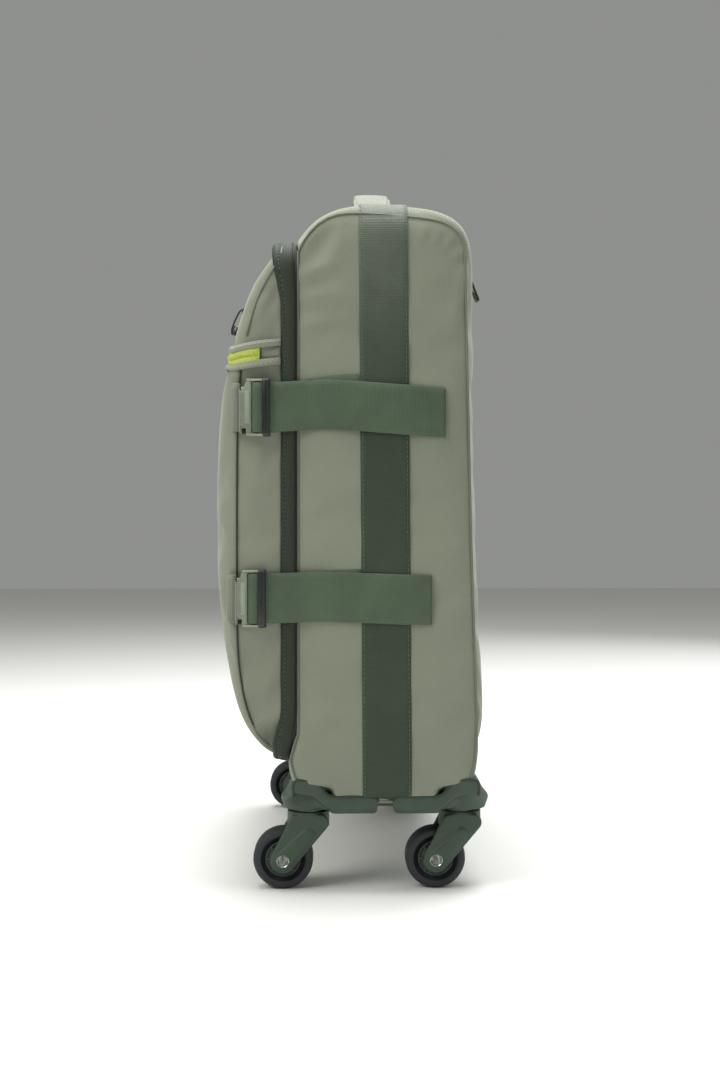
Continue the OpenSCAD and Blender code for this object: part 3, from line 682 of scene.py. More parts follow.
MAIN_CROWN = [(-45.5, 95.5), (-46.5, 91.5), (-45.8, 87), (-43, 80), (-39.5, 72), (-34.5, 66), (-28, 63),
              (30, 63), (76, 63), (84, 66), (89, 74), (91.5, 84), (94, 100), (95, 120),
              (91, 250), (86.5, 462), (86.6, 476), (83.6, 486.6), (79, 492.2), (70, 496.2), (50, 499),
              (20, 500.5), (-4, 499), (-19, 495.5), (-27, 491), (-33, 485), (-38.5, 475)]
MAIN_SEAM = [(-43.8, 97), (-43.2, 92), (-42.2, 88), (-39.6, 80), (-36, 73), (-31, 69), (-27, 67),
             (30, 67), (74, 67), (82, 70), (86, 76), (88.5, 84), (90.5, 100), (91.5, 120),
             (87.3, 250), (82.6, 458), (83, 468), (80.4, 478.6), (75.5, 484.4), (66, 487), (50, 489),
             (20, 491.4), (-4, 492.2), (-14.5, 491.4), (-25, 487), (-32.5, 478), (-38.2, 464)]
main_crown, main_seam = paired_path(MAIN_CROWN, MAIN_SEAM, STEP)


def front_edge(z):
    """Where the side panel ends at the zip band; its foot bulges a little under the lid."""
    return -0.0383 - 0.0055 * float(ease((0.118 - z) / 0.021))


def panel_corners(seam):
    """The places on the side seam that act as the four corners of the side panel."""
    def nearest(y, z):
        return int(np.argmin(np.linalg.norm(seam - mm((y, z)), axis=1)))
    front_low, back_low, back_high = nearest(-27, 67), nearest(80, 69), nearest(79.6, 480.4)
    return front_low, back_low, back_high, back_high + back_low - front_low


def main_skin():
    """The body's fabric: a tunnel over top, back, bottom and front foot, and two side panels."""
    skin = Skin()
    columns = cross_columns(HALF_W - ROLL, 7.4 * MM)
    rows, pins = [], []
    last = len(main_crown) - 1
    for t in range(len(main_crown)):
        row, pin_row = [], []
        for x, w in columns:
            y, z = main_seam[t] + (main_crown[t] - main_seam[t]) * w
            row.append((x, y, z))
            on_band = abs(y - BAND_Y) < BAND_W / 2 + 2 * MM and z > 0.45
            pin = 1.0 if w == 0 or t in (0, last) else 0.02
            if z < 0.07:
                pin = 1.0
            elif on_band:
                pin = max(pin, 0.25)
            pin_row.append(pin)
        rows.append(row)
        pins.append(pin_row)
    skin.grid(rows, pins)
    front_low, back_low, back_high, front_high = panel_corners(main_seam)
    bottom = list(main_seam[front_low:back_low + 1])
    back = list(main_seam[back_low:back_high + 1])
    top = list(main_seam[back_high:front_high + 1])[::-1]
    ends = (len(main_seam) - 1 - front_high) + front_low
    count = len(back) - 1 - ends
    edge = [(front_edge(z), z) for z in np.linspace(main_seam[-1][1], main_seam[0][1], count + 1)[1:-1]]
    front = [tuple(p) for p in main_seam[front_high:]] + edge + [tuple(p) for p in main_seam[:front_low + 1]]
    front = front[::-1]
    for side in (1, -1):
        patch_rows, patch_pins = [], []
        for i, v in enumerate(np.linspace(0, 1, len(back))):
            row, pin_row = [], []
            for j, u in enumerate(np.linspace(0, 1, len(bottom))):
                p = (1 - v) * np.array(bottom[j]) + v * np.array(top[j])
                p = p + (1 - u) * np.array(front[i]) + u * np.array(back[i])
                p = p - (1 - u) * (1 - v) * np.array(bottom[0]) - u * (1 - v) * np.array(bottom[-1])
                p = p - (1 - u) * v * np.array(top[0]) - u * v * np.array(top[-1])
                crown = 2.4 * MM * math.sin(math.pi * u) ** 0.4 * math.sin(math.pi * v) ** 0.2
                row.append((side * (HALF_W + crown), p[0], p[1]))
                border = i in (0, len(back) - 1) or j in (0, len(bottom) - 1)
                on_band = abs(p[0] - BAND_Y) < BAND_W / 2
                pin_row.append(1.0 if border else (0.15 if on_band else 0.03))
            patch_rows.append(row)
            patch_pins.append(pin_row)
        skin.grid(patch_rows, patch_pins)
    obj = skin.build("main_fabric")
    point_outwards(obj, (0, 0.027, 0.28))
    return obj


LID_SEAM = [(-50, 99), (-66, 110), (-77, 135), (-82.5, 172), (-83, 222), (-83, 272), (-82.8, 322),
            (-82, 366), (-76, 403), (-66, 437), (-50, 461)]
LID_CROWN = [(-50, 97), (-67, 103), (-79, 133), (-88, 188), (-91.5, 230), (-92, 272), (-91.5, 325),
             (-87.5, 378), (-81, 410), (-68, 449), (-50, 472)]
LID_FLAT = 160 * MM
lid_seam, lid_crown = paired_path(LID_SEAM, LID_CROWN, 6.5 * MM, 6)
POCKET_TOP = 382 * MM                   # where the lower pocket's panel ends under the lime zip
POCKET_PROUD = 2.2 * MM
LIME_HALF = 5.0 * MM                    # half of the lime zip's visible height


def lime_height(y):
    """The lime zip's middle: 392 mm up, but 387 mm where it turns the lid's front corners."""
    return float(np.interp(y / MM, (-93, -85, -50), (392, 387, 392))) * MM


def lid_skin():
    """The lid's fabric: a bellied front rolled into two side panels."""
    skin = Skin()
    columns = cross_columns(LID_FLAT, 7.2 * MM)
    rows, pins = [], []
    last = len(lid_seam) - 1
    for t in range(last + 1):
        row, pin_row = [], []
        for x, w in columns:
            y, z = lid_seam[t] + (lid_crown[t] - lid_seam[t]) * w
            belly = 1 + 0.10 * max(0.0, 1 - (x / LID_FLAT) ** 2) * w
            y = LID_BACK + (y - LID_BACK) * belly
            below = ease((POCKET_TOP - z) / (6 * MM))
            fade = ease((z - 0.105) / (25 * MM))
            y -= POCKET_PROUD * below * fade * w
            row.append((x, y, z))
            pin = 1.0 if t in (0, last) else 0.03
            if w == 0:
                pin = 0.9
            if abs(z - lime_height(y)) < 9 * MM:
                pin = max(pin, 0.35)
            pin_row.append(pin)
        rows.append(row)
        pins.append(pin_row)
    skin.grid(rows, pins)
    edge_z = np.linspace(lid_seam[0][1], lid_seam[-1][1], last + 1)
    for side in (1, -1):
        side_rows, side_pins = [], []
        for t in range(last + 1):
            row, pin_row = [], []
            for s in np.linspace(0, 1, 7):
                y, z = lid_seam[t] * (1 - s) + np.array([LID_BACK, edge_z[t]]) * s
                row.append((side * (HALF_W + 0.8 * MM * math.sin(math.pi * s)), y, z))
                pin_row.append(1.0 if s == 1 or t in (0, last) else (0.9 if s == 0 else 0.04))
            side_rows.append(row)
            side_pins.append(pin_row)
        skin.grid(side_rows, side_pins)
    obj = skin.build("lid_fabric")
    point_outwards(obj, (0, -0.052, 0.28))
    return obj


CLOTH_FRAMES = 22


def inflate(pieces):
    """Fills the fabric as the padding behind it does: pinned at its seams, pressed out from inside,
    and slightly too large for its frame, so that it creases. Each piece is (object, pressure,
    spare cloth, furthest move)."""
    starts = []
    for obj, pressure, spare, _ in pieces:
        starts.append(np.array([v.co for v in obj.data.vertices], float))
        cloth = obj.modifiers.new("cloth", "CLOTH")
        settings = cloth.settings
        settings.quality = 6
        settings.mass = 0.3
        settings.tension_stiffness = 22
        settings.compression_stiffness = 14
        settings.shear_stiffness = 6
        settings.bending_stiffness = 1.6
        settings.air_damping = 2.5
        settings.use_pressure = True
        settings.uniform_pressure_force = pressure
        settings.vertex_group_mass = "pins"
        settings.pin_stiffness = 0.6
        settings.shrink_min = -spare
        settings.effector_weights.gravity = 0
        cloth.collision_settings.use_collision = False
        cloth.collision_settings.use_self_collision = False
        cloth.point_cache.frame_start = 1
        cloth.point_cache.frame_end = CLOTH_FRAMES
    for frame_number in range(1, CLOTH_FRAMES + 1):
        scene.frame_set(frame_number)
    graph = bpy.context.evaluated_depsgraph_get()
    for (obj, _, _, cap), start in zip(pieces, starts):
        result = obj.evaluated_get(graph).to_mesh()
        moved = np.array([v.co for v in result.vertices], float)
        obj.evaluated_get(graph).to_mesh_clear()
        obj.modifiers.clear()
        move = moved - start
        size = np.linalg.norm(move, axis=1, keepdims=True)
        limit = cap * np.tanh(size / cap)
        move = move * (limit / np.maximum(size, 1e-9))
        obj.data.vertices.foreach_set("co", (start + move).astype(np.float32).ravel())
        obj.data.update()
    scene.frame_set(1)


def crease(obj, folds):
    """Presses soft folds into a skin. Each fold is (middle, direction along it, half length,
    half width, depth): a raised roll with a hollow beside it."""
    mesh = obj.data
    mesh.update()
    normals = [v.normal.copy() for v in mesh.vertices]
    for vertex, normal in zip(mesh.vertices, normals):
        push = 0.0
        for middle, along, half_length, half_width, depth in folds:
            offset = vertex.co - Vector(middle)
            if offset.length > half_length * 1.3:
                continue
            axis = Vector(along).normalized()
            run = offset.dot(axis)
            if abs(offset.dot(normal)) > 25 * MM:
                continue
            across = (offset - axis * run).dot(axis.cross(normal).normalized())
            fade = max(0.0, 1 - (run / half_length) ** 2) ** 2
            push += depth * fade * math.exp(-(across / half_width) ** 2)
            push -= 0.6 * depth * fade * math.exp(-((across - 1.6 * half_width) / half_width) ** 2)
        vertex.co += normal * push
    mesh.update()


def ripple(obj, scale, depth, seed):
    """Small uneven waves, as on cloth over foam."""
    mesh = obj.data
    shift = Vector((seed * 3.1, seed * 1.7, seed * 2.3))
    moves = []
    for vertex in mesh.vertices:
        value = noise.noise(vertex.co * scale + shift) + 0.5 * noise.noise(vertex.co * scale * 2.3 + shift)
        moves.append(vertex.normal * value * depth)
    group = obj.vertex_groups.get("pins")
    for vertex, move in zip(mesh.vertices, moves):
        held = 0.0
        for g in vertex.groups:
            if group and g.group == group.index:
                held = g.weight
        vertex.co += move * (1 - held)
    mesh.update()


main_fabric = main_skin()
lid_fabric = lid_skin()
inflate([(main_fabric, 1.6, 0.012, 4 * MM), (lid_fabric, 0.9, 0.014, 4 * MM)])

SIDE_FOLDS = [((-26, 450), (1, 0.25), 24, 5.0, 1.3), ((-22, 432), (1, -0.1), 26, 6.0, 1.0),
              ((-24, 412), (1, 0.1), 18, 5.0, 0.6), ((-20, 470), (0.6, 1), 18, 6.0, -0.9),
              ((62, 474), (0.35, 1), 11, 3.6, 0.9), ((70, 470), (0.7, 1), 12, 3.6, 1.0),
              ((76, 462), (1, 0.8), 11, 3.6, 0.8), ((52, 476), (0.1, 1), 9, 3.4, 0.7),
              ((-8, 478), (-0.4, 1), 10, 3.6, 0.7), ((78, 430), (0.2, 1), 40, 5.0, 0.7),
              ((60, 118), (1, -0.5), 26, 8.0, 0.7), ((-20, 128), (1, 0.6), 22, 7.0, 0.7)]
LID_FOLDS = [((-56, 384), (0.2, 1), 12, 4.0, 0.7), ((-66, 318), (0.3, 1), 26, 5.0, 0.7),
             ((-60, 150), (0.5, 1), 18, 5.0, 0.8), ((-62, 430), (0.5, 1), 20, 4.0, 0.6)]
FOLD_DEPTH = 1.7                        # all folds are pressed this much deeper than listed


def side_folds(folds):
    """The folds of both side panels, from their places in (y, z) in millimetres."""
    made = []
    for side in (1, -1):
        for (y, z), (ay, az), half_length, half_width, depth in folds:
            made.append(((side * 0.177, y * MM, z * MM), (0, ay, az),
                         half_length * MM, half_width * MM, FOLD_DEPTH * depth * MM))
    return made


def refine(obj):
    add_modifier(obj, "SUBSURF", levels=1, render_levels=1, boundary_smooth="PRESERVE_CORNERS")
    apply_modifiers(obj)


def finish_skin(obj, folds, seed):
    """Fine enough for creases; the pins still hold the seams while the cloth is rippled."""
    groups = [g.name for g in obj.vertex_groups]
    refine(obj)
    for name in groups:
        if name not in obj.vertex_groups:
            obj.vertex_groups.new(name=name)
    ripple(obj, 26.0, 0.45 * MM, seed)
    crease(obj, side_folds(folds))
    refine(obj)
    shade_smooth(obj)


finish_skin(main_fabric, SIDE_FOLDS, 1)
finish_skin(lid_fabric, LID_FOLDS, 2)


# ---------------------------------------------------------------- strips laid on the fabric

def tree_of(obj):
    """A search tree of a finished skin, for laying other pieces on it."""
    mesh = obj.data
    return BVHTree.FromPolygons([v.co.copy() for v in mesh.vertices],
                                [tuple(f.vertices) for f in mesh.polygons])


main_tree = tree_of(main_fabric)
lid_tree = tree_of(lid_fabric)


def drop_on(tree, start, direction, fallback):
    """Where a line from outside first meets the skin."""
    hit = tree.ray_cast(Vector(start), Vector(direction))
    return np.array(hit[0]) if hit[0] is not None else np.array(fallback, float)


def soften(points, passes, closed=False):
    pts = np.array(points, float)
    for _ in range(passes):
        if closed:
            pts = (np.roll(pts, 1, axis=0) + 2 * pts + np.roll(pts, -1, axis=0)) / 4
        else:
            pts[1:-1] = (pts[:-2] + 2 * pts[1:-1] + pts[2:]) / 4
    return pts


def lofted(name, rows, closed_rows=False, closed_columns=False, caps=False):
    """A mesh through rows of points, with its length and width as UVs in metres."""
    rows = [np.array(r, float) for r in rows]
    n, k = len(rows), len(rows[0])
    verts = [tuple(p) for r in rows for p in r]
    uvs, run = [], 0.0
    for i, row in enumerate(rows):
        if i:
            run += float(np.mean(np.linalg.norm(row - rows[i - 1], axis=1)))
        across = run_along(row)
        uvs.extend((run, float(a)) for a in across)
    faces = [(a, d, c, b) for a, b, c, d in grid_faces(n, k, closed_rows, closed_columns)]
    if caps:
        faces.append(tuple(range(k)))
        faces.append(tuple((n - 1) * k + j for j in reversed(range(k))))
    return make_object(name, verts, faces, uvs=uvs)


def recalc(obj):
    bm = bmesh.new()
    bm.from_mesh(obj.data)
    bmesh.ops.recalc_face_normals(bm, faces=bm.faces)
    bm.to_mesh(obj.data)
    bm.free()
    return obj


def solid(name, rows):
    """A closed piece through rings of points, capped at both ends."""
    return recalc(lofted(name, rows, closed_columns=True, caps=True))


# ---- zip band round the opening

ZIP_CORNER = 22 * MM


def opening_loop(step):
    """The closed line of the opening in (x, z), with its outward directions."""
    half, low, high, r = HALF_W, ZIP_BOTTOM, ZIP_TOP, ZIP_CORNER
    pts, outs = [], []
    centres = [(half - r, high - r, 0), (-half + r, high - r, 90),
               (-half + r, low + r, 180), (half - r, low + r, 270)]
    for cx, cz, start in centres:
        for angle in np.radians(np.linspace(start, start + 90, 13)):
            pts.append((cx + r * math.cos(angle), cz + r * math.sin(angle)))
            outs.append((math.cos(angle), math.sin(angle)))
    full_pts, full_outs = [], []
    for i, (p, o) in enumerate(zip(pts, outs)):
        q, o2 = pts[(i + 1) % len(pts)], outs[(i + 1) % len(pts)]
        length = math.hypot(q[0] - p[0], q[1] - p[1])
        count = max(1, int(length / step))
        for s in range(count):
            t = s / count
            full_pts.append((p[0] + (q[0] - p[0]) * t, p[1] + (q[1] - p[1]) * t))
            full_outs.append((o[0] + (o2[0] - o[0]) * t, o[1] + (o2[1] - o[1]) * t))
    return full_pts, full_outs


def zip_roll(name, section):
    """Half of the zip band: a folded tape with (y, outward) section points, carried round the opening."""
    pts, outs = opening_loop(8 * MM)
    rows = []
    for (x, z), (ox, oz) in zip(pts, outs):
        wave = 0.25 * MM * noise.noise(Vector((x * 30, z * 30, 1.0)))
        rows.append([(x + ox * (o + wave), y, z + oz * (o + wave)) for y, o in section])
    return recalc(lofted(name, rows, closed_rows=True, closed_columns=True))


def lean_forward(obj):
    """At its corners the band leans towards the lid, and at the top ones it widens too."""
    for v in obj.data.vertices:
        share = float(np.clip((-37.5 * MM - v.co.y) / (13.5 * MM), 0, 1.1))
        corner = float(ease((abs(v.co.x) - 0.120) / 0.040))
        high = float(ease((v.co.z - 0.420) / 0.045))
        low = float(ease((0.135 - v.co.z) / 0.030))
        v.co.y -= corner * (7.0 * MM * share * high + (2.0 + 4.5 * share) * MM * low)
    return obj


def loop_line(y, lift, step=4 * MM):
    """A closed line round the opening, with the outward direction at each point."""
    pts, outs = opening_loop(step)
    path = [(x + ox * lift, y, z + oz * lift) for (x, z), (ox, oz) in zip(pts, outs)]
    out3 = [(ox, 0, oz) for ox, oz in outs]
    return path + path[:1], out3 + out3[:1]


def zip_band():
    """The dark zip band: a flap sewn to the lid covers the zip, and the body's half lies under it."""
    flap_section = [(-50.4, 0.2), (-49.9, 1.5), (-48.8, 2.4), (-47.9, 2.5), (-47.4, 2.1), (-46.7, 2.8),
                    (-45.1, 3.3), (-43.0, 3.5), (-41.5, 3.3), (-40.6, 2.8), (-40.4, 2.2), (-41.1, 1.8),
                    (-44.3, 2.0), (-46.3, 1.7), (-47.6, 0.7), (-49.2, 0.0)]
    main_section = [(-43.6, -1.5), (-43.5, -0.4), (-43.2, 0.5), (-42.1, 1.1), (-40.8, 1.4), (-39.7, 1.2),
                    (-39.0, 0.5), (-39.1, -1.0)]
    for name, section, body, node in (("lid_zip_band", flap_section, "lid", "lid_zip_tape"),
                                      ("main_zip_band", main_section, "root", "main_zip_tape")):
        roll = lean_forward(zip_roll(name, [(y * MM, o * MM) for y, o in section]))
        dress(roll, mat_tape, body, "forest_tape", node)
    path, outs = loop_line(-47.5 * MM, 2.3 * MM)
    thread = lean_forward(stitches("lid_zip_band_stitches", path, outs))
    dress(thread, mat_green_thread, "lid", "forest_tape")
    # a thin dark tube along the band's rear edge: a painted shadow line
    path, _ = loop_line(-39.1 * MM, 1.0 * MM)
    shadow = lean_forward(recalc(sweep("main_zip_shadow", path[:-1], ellipse(1.3 * MM, 1.3 * MM, 8),
                                       closed=True)))
    dress(shadow, mat_shadow, "root", "forest_tape")


def coil_teeth(name, path, outs, sides, body, slot_name, mat, reach=1.5 * MM, phase=0.0, direction=1):
    """One half of a zip's coil: short rounded bars across the zip line."""
    pts = np.array(path, float)
    run = run_along(pts)
    outs = np.array(outs, float)
    sides = np.array(sides, float)
    along_half = 0.45 * MM
    pitch = 1.9 * MM
    verts, faces = [], []
    for s in range(int(run[-1] / pitch)):
        at = (s + phase + 0.25) * pitch
        p, o, w = (np.array([np.interp(at, run, data[:, k]) for k in range(3)])
                   for data in (pts, outs, sides))
        o /= np.linalg.norm(o)
        w /= np.linalg.norm(w)
        d = np.cross(w, o)
        base = len(verts)
        for a, h, thick in ((reach, 0.0, 0.9), (reach * 0.45, 0.35, 1.0), (-0.35 * reach, 0.25, 0.85)):
            for q in range(6):
                angle = math.pi * q / 3
                verts.append(p + w * direction * a + o * (h * MM + 0.45 * MM * thick * math.sin(angle))
                             + d * along_half * thick * math.cos(angle))
        for ring in range(2):
            for q in range(6):
                r0, r1 = base + ring * 6, base + (ring + 1) * 6
                faces.append((r0 + q, r0 + (q + 1) % 6, r1 + (q + 1) % 6, r1 + q))
        faces.append(tuple(base + q for q in reversed(range(6))))
        faces.append(tuple(base + 12 + q for q in range(6)))
    obj = recalc(make_object(name, verts, faces))
    dress(obj, mat, body, slot_name)
    return obj


def main_zip_teeth():
    path, outs = loop_line(ZIP_Y, 0.4 * MM)
    sides = [(0, 1, 0)] * len(path)
    for name, body, phase, way in (("lid_zip_teeth", "lid", 0.0, -1), ("main_zip_teeth", "root", 0.5, 1)):
        lean_forward(coil_teeth(name, path, outs, sides, body, "forest_tape", mat_coil, phase=phase,
                                direction=way))


def coil_pair(prefix, line, outs, body, slot_name, mat):
    """Both halves of a level zip's coil."""
    ups = [(0, 0, 1)] * len(line)
    for word, way, shift in (("upper", 1, 0.0), ("lower", -1, 0.5)):
        coil_teeth("%s_zip_teeth_%s" % (prefix, word), line, outs, ups, body, slot_name, mat,
                   reach=1.4 * MM, phase=shift, direction=way)


# ---- piping along the side seams

def tube_along(name, path, radius, closed=False):
    return sweep(name, path, ellipse(2 * radius, 2 * radius, 8), closed=closed)


def seam_piping():
    """Thin cord under folded cloth along the side seams, in darker cloth as painted shade, and a dark tube in
    the slit beside the lid's pocket as painted shadow.
    """
    front = [(front_edge(z), z) for z in np.linspace(main_seam[-1][1], main_seam[0][1], 40)[1:-1]]
    loop = [tuple(p) for p in main_seam] + front
    for side, word in SIDES:
        path = [(side * (HALF_W + 0.5 * MM), y, z) for y, z in loop]
        pipe = recalc(tube_along("main_piping_" + word, path, 0.85 * MM, closed=True))
        dress(pipe, mat_piping_shade, "root", "sage_twill")
        for level, low, high in (("high", 0.400, 1.0), ("low", 0.0, 0.380)):
            lid_path = [(side * (HALF_W + 0.3 * MM), y, z) for y, z in lid_seam[1:-1] if low < z < high]
            lid_pipe = recalc(tube_along("lid_piping_%s_%s" % (level, word), lid_path, 0.8 * MM))
            dress(lid_pipe, mat_piping_shade, "lid", "sage_twill")
        # a dark tube in the slit beside the pocket: painted shadow
        slit_path = []
        for y, z in lid_seam:
            if 0.118 < z < 0.379:
                slit_path.append((side * (HALF_W + 0.9 * MM), y + 0.9 * MM, z))
        slit = recalc(sweep("pocket_slit_" + word, slit_path, ellipse(1.1 * MM, 0.8 * MM, 8)))
        dress(slit, mat_shadow, "lid", "sage_twill")


# ---- strips that wrap round the lid

def lid_guide(step, end_y=-50.6 * MM):
    """A line just inside the lid, from its right rear edge round the front to its left rear edge,
    with the directions in which the fabric is looked for."""
    inner, front, r = HALF_W - 20 * MM, -60 * MM, 8 * MM
    side = [(inner, y) for y in np.arange(end_y, front + r, -step)]
    corner = [(inner - r + r * math.cos(a), front + r - r * math.sin(a))
              for a in np.radians(np.linspace(0, 90, 9))]
    flat = [(x, front) for x in np.arange(inner - r - step, 0, -step)]
    half = side + corner + flat
    outs = [(1.0, 0.0)] * len(side) + [(math.cos(a), -math.sin(a)) for a in np.radians(np.linspace(0, 90, 9))]
    outs = outs + [(0.0, -1.0)] * len(flat)
    pts = half + [(-x, y) for x, y in half[::-1]]
    outs = outs + [(-x, y) for x, y in outs[::-1]]
    return pts, outs


def on_lid(x, y, out, height, rise):
    """The lid's surface in a direction from (x, y), at a height that depends on where it is met."""
    z = height(y) + rise
    point = np.array((x + out[0] * 20 * MM, y + out[1] * 20 * MM, z))
    for _ in range(4):
        hit = lid_tree.ray_cast(Vector((x, y, z)), Vector((*out, 0)))
        if hit[0] is None:
            break
        point = np.array(hit[0])
        z = height(point[1]) + rise
    return point


def hugging_line(height, rise, step):
    """A line round the lid's surface, never below it: (points, outward directions)."""
    pts, outs = lid_guide(step)
    hits = [on_lid(x, y, out, height, rise) for (x, y), out in zip(pts, outs)]
    reach = np.array([math.hypot(p[0] - x, p[1] - y) for p, (x, y) in zip(hits, pts)])
    reach[1:-1] = np.maximum(reach[1:-1], np.maximum(reach[:-2], reach[2:]))
    reach[1:-1] = (reach[:-2] + 2 * reach[1:-1] + reach[2:]) / 4
    line = []
    for (x, y), (ox, oy), r in zip(pts, outs, reach):
        p = np.array((x + ox * r, y + oy * r, 0.0))
        p[2] = height(p[1]) + rise
        line.append(p)
    return np.array(line), outs


def lid_strip(name, height, section, x_limit=None, y_limit=None, step=3 * MM):
    """A strip round the lid. height(y) is its middle height, and section its (up, outward) outline."""
    outs = lid_guide(step)[1]
    levels = sorted(set(dz for dz, _ in section))
    surface = {dz: hugging_line(height, dz, step)[0] for dz in levels}
    keep = []
    for i, p in enumerate(surface[levels[0]]):
        inside = (x_limit is None or abs(p[0]) <= x_limit) and (y_limit is None or p[1] <= y_limit)
        if inside:
            keep.append(i)
    rows = []
    for i in keep:
        ox, oy = outs[i]
        rows.append([surface[dz][i] + np.array((ox, oy, 0)) * lift for dz, lift in section])
    return solid(name, rows)


def lid_line(height, lift, x_limit=None, y_limit=None, step=4 * MM):
    """The points of one level line on the lid, for stitches and coils."""
    points, outs = hugging_line(height, 0.0, step)
    line, directions = [], []
    for p, (ox, oy) in zip(points, outs):
        if (x_limit is not None and abs(p[0]) > x_limit) or (y_limit is not None and p[1] > y_limit):
            continue
        line.append(p + np.array((ox, oy, 0)) * lift)
        directions.append((ox, oy, 0.0))
    return line, directions


def fold_section(low, high, thick):
    """A folded edge of cloth: rounded, thicker at its lower fold."""
    mid = (low + high) / 2
    return [(low * MM, 0.2 * MM), (low * MM, thick * 0.7 * MM), ((low + 0.8) * MM, thick * MM),
            (mid * MM, thick * 0.85 * MM), (high * MM, thick * 0.35 * MM), (high * MM, 0.0),
            (mid * MM, -0.3 * MM)]


def pocket_hems():
    """The flap edge over the lower pocket, its lime zip, and the pocket's own top hem."""
    def flap_height(y):
        return lime_height(y) + LIME_HALF

    def top_height(y):
        return lime_height(y) - LIME_HALF

    flap = lid_strip("pocket_flap_hem", flap_height, fold_section(-0.8, 4.6, 2.0))
    hem = lid_strip("pocket_top_hem", top_height, fold_section(-4.4, 0.9, 2.2))
    # the folded hems take the lighter twill: painted highlight
    for fold in (flap, hem):
        dress(fold, mat_folded_highlight, "lid", "sage_twill")
    for word, height, rise in (("flap", flap_height, 2.4), ("top", top_height, -2.6)):
        line, outs = lid_line(lambda y, h=height, r=rise: h(y) + r * MM, 1.9 * MM)
        thread = stitches("pocket_%s_stitches" % word, line, outs, pitch=3.6 * MM, length=2.4 * MM,
                          width=0.7 * MM)
        dress(thread, mat_thread, "lid", "sage_twill")
    edge = LIME_HALF + 0.6 * MM
    lime_section = [(-edge, 0.1 * MM), (-edge * 0.95, 0.9 * MM), (-1.5 * MM, 1.3 * MM), (0.0, 1.1 * MM),
                    (1.5 * MM, 1.3 * MM), (edge * 0.95, 0.9 * MM), (edge, 0.1 * MM), (0.0, -0.3 * MM)]
    lime = lid_strip("lower_pocket_tape", lime_height, lime_section, y_limit=-64 * MM)
    dress(lime, mat_lime, "lid", "lime_tape", "lower_pocket_zip")
    line, outs = lid_line(lime_height, 1.4 * MM, y_limit=-65 * MM)
    coil_pair("lower", line, outs, "lid", "lime_tape", mat_lime_coil)
    for side, word in SIDES:
        rows = []
        for y in np.linspace(-51, -64.6, 9) * MM:
            row = []
            for dz, lift in ((-edge, 0.2), (-edge * 0.94, 1.2), (0, 1.5), (edge * 0.94, 1.2), (edge, 0.2)):
                z = lime_height(y) + dz
                p = drop_on(lid_tree, (side * 0.25, y, z), (-side, 0, 0), (side * HALF_W, y, z))
                row.append(p + np.array((side * lift * MM, 0, 0)))
            rows.append(row)
        tab = recalc(lofted("zip_end_tab_" + word, rows))
        add_modifier(tab, "SOLIDIFY", thickness=0.8 * MM, offset=-1)
        apply_modifiers(tab)
        # the tab takes the lighter twill: painted highlight
        dress(tab, mat_folded_highlight, "lid", "sage_twill")


UPPER_ZIP_Z = (upper_zip_lo.z + upper_zip_hi.z) / 2


def pocket_zip(prefix, height, end, laid, line_of, body, node):
    """A plain zip in its slot: tape, coil, and a folded and stitched lip above and below it.
    laid makes a strip from (name, height, section, end), and line_of gives (points, outs)."""
    section = [(-4.6 * MM, 0.1 * MM), (-4.4 * MM, 0.8 * MM), (-1.2 * MM, 1.1 * MM), (1.2 * MM, 1.1 * MM),
               (4.4 * MM, 0.8 * MM), (4.6 * MM, 0.1 * MM), (0.0, -0.3 * MM)]
    tape = laid(prefix + "_pocket_tape", height, section, end)
    dress(tape, mat_tape, body, "forest_tape", node)
    line, outs = line_of(height, 1.2 * MM, end - 3 * MM)
    coil_pair(prefix, line, outs, body, "forest_tape", mat_coil)
    lip = [(-1.7 * MM, 0.0), (-1.5 * MM, 1.2 * MM), (0, 1.9 * MM), (1.6 * MM, 1.1 * MM), (2.0 * MM, 0.0)]
    for word, rise in (("above", 6.2 * MM), ("below", -6.2 * MM)):
        fold = laid("%s_zip_lip_%s" % (prefix, word), lambda y, r=rise: height(y) + r, lip, end + 3 * MM)
        # the lips take the lighter twill: painted highlight
        dress(fold, mat_folded_highlight, body, "sage_twill")
        line, outs = line_of(lambda y, r=rise: height(y) + r * 1.55, 0.4 * MM, end + 3 * MM)
        thread = stitches("%s_zip_stitches_%s" % (prefix, word), line, outs, pitch=3.4 * MM, length=2.4 * MM)
        dress(thread, mat_thread, body, "sage_twill")


def upper_zip():
    """The upper front pocket's zip."""
    def laid(name, height, section, end):
        return lid_strip(name, height, section, x_limit=end, y_limit=-60 * MM)

    def line_of(height, lift, end):
        return lid_line(height, lift, x_limit=end, y_limit=-60 * MM)

    pocket_zip("upper", lambda y: UPPER_ZIP_Z, upper_zip_hi.x, laid, line_of, "lid", "upper_pocket_zip")


def back_zip():
    """The zip of the pocket in the back."""
    def on_back(x, z):
        return drop_on(main_tree, (x, 0.2, z), (0, -1, 0), (x, 0.085, z))

    def places(end):
        return np.arange(-end, end + 1 * MM, 6 * MM)

    def laid(name, height, section, end):
        rows = []
        for x in places(end):
            rows.append([on_back(x, height(0) + dz) + np.array((0, lift, 0)) for dz, lift in section])
        return solid(name, rows)

    def line_of(height, lift, end):
        line = [on_back(x, height(0)) + np.array((0, lift, 0)) for x in places(end)]
        return line, [(0, 1, 0)] * len(line)

    middle = (back_zip_lo.z + back_zip_hi.z) / 2
    pocket_zip("back", lambda y: middle, back_zip_hi.x, laid, line_of, "root", "back_zip_tape")


# ---- webbing

RAY_SIDE = 0.26                         # rays onto the body start here, clear of its sides
RAY_TOP = 0.6                           # and here, above it


def side_point(side, y, z):
    """The body's fabric, straight in from the side."""
    return drop_on(main_tree, (side * RAY_SIDE, y, z), (-side, 0, 0), (side * HALF_W, y, z))


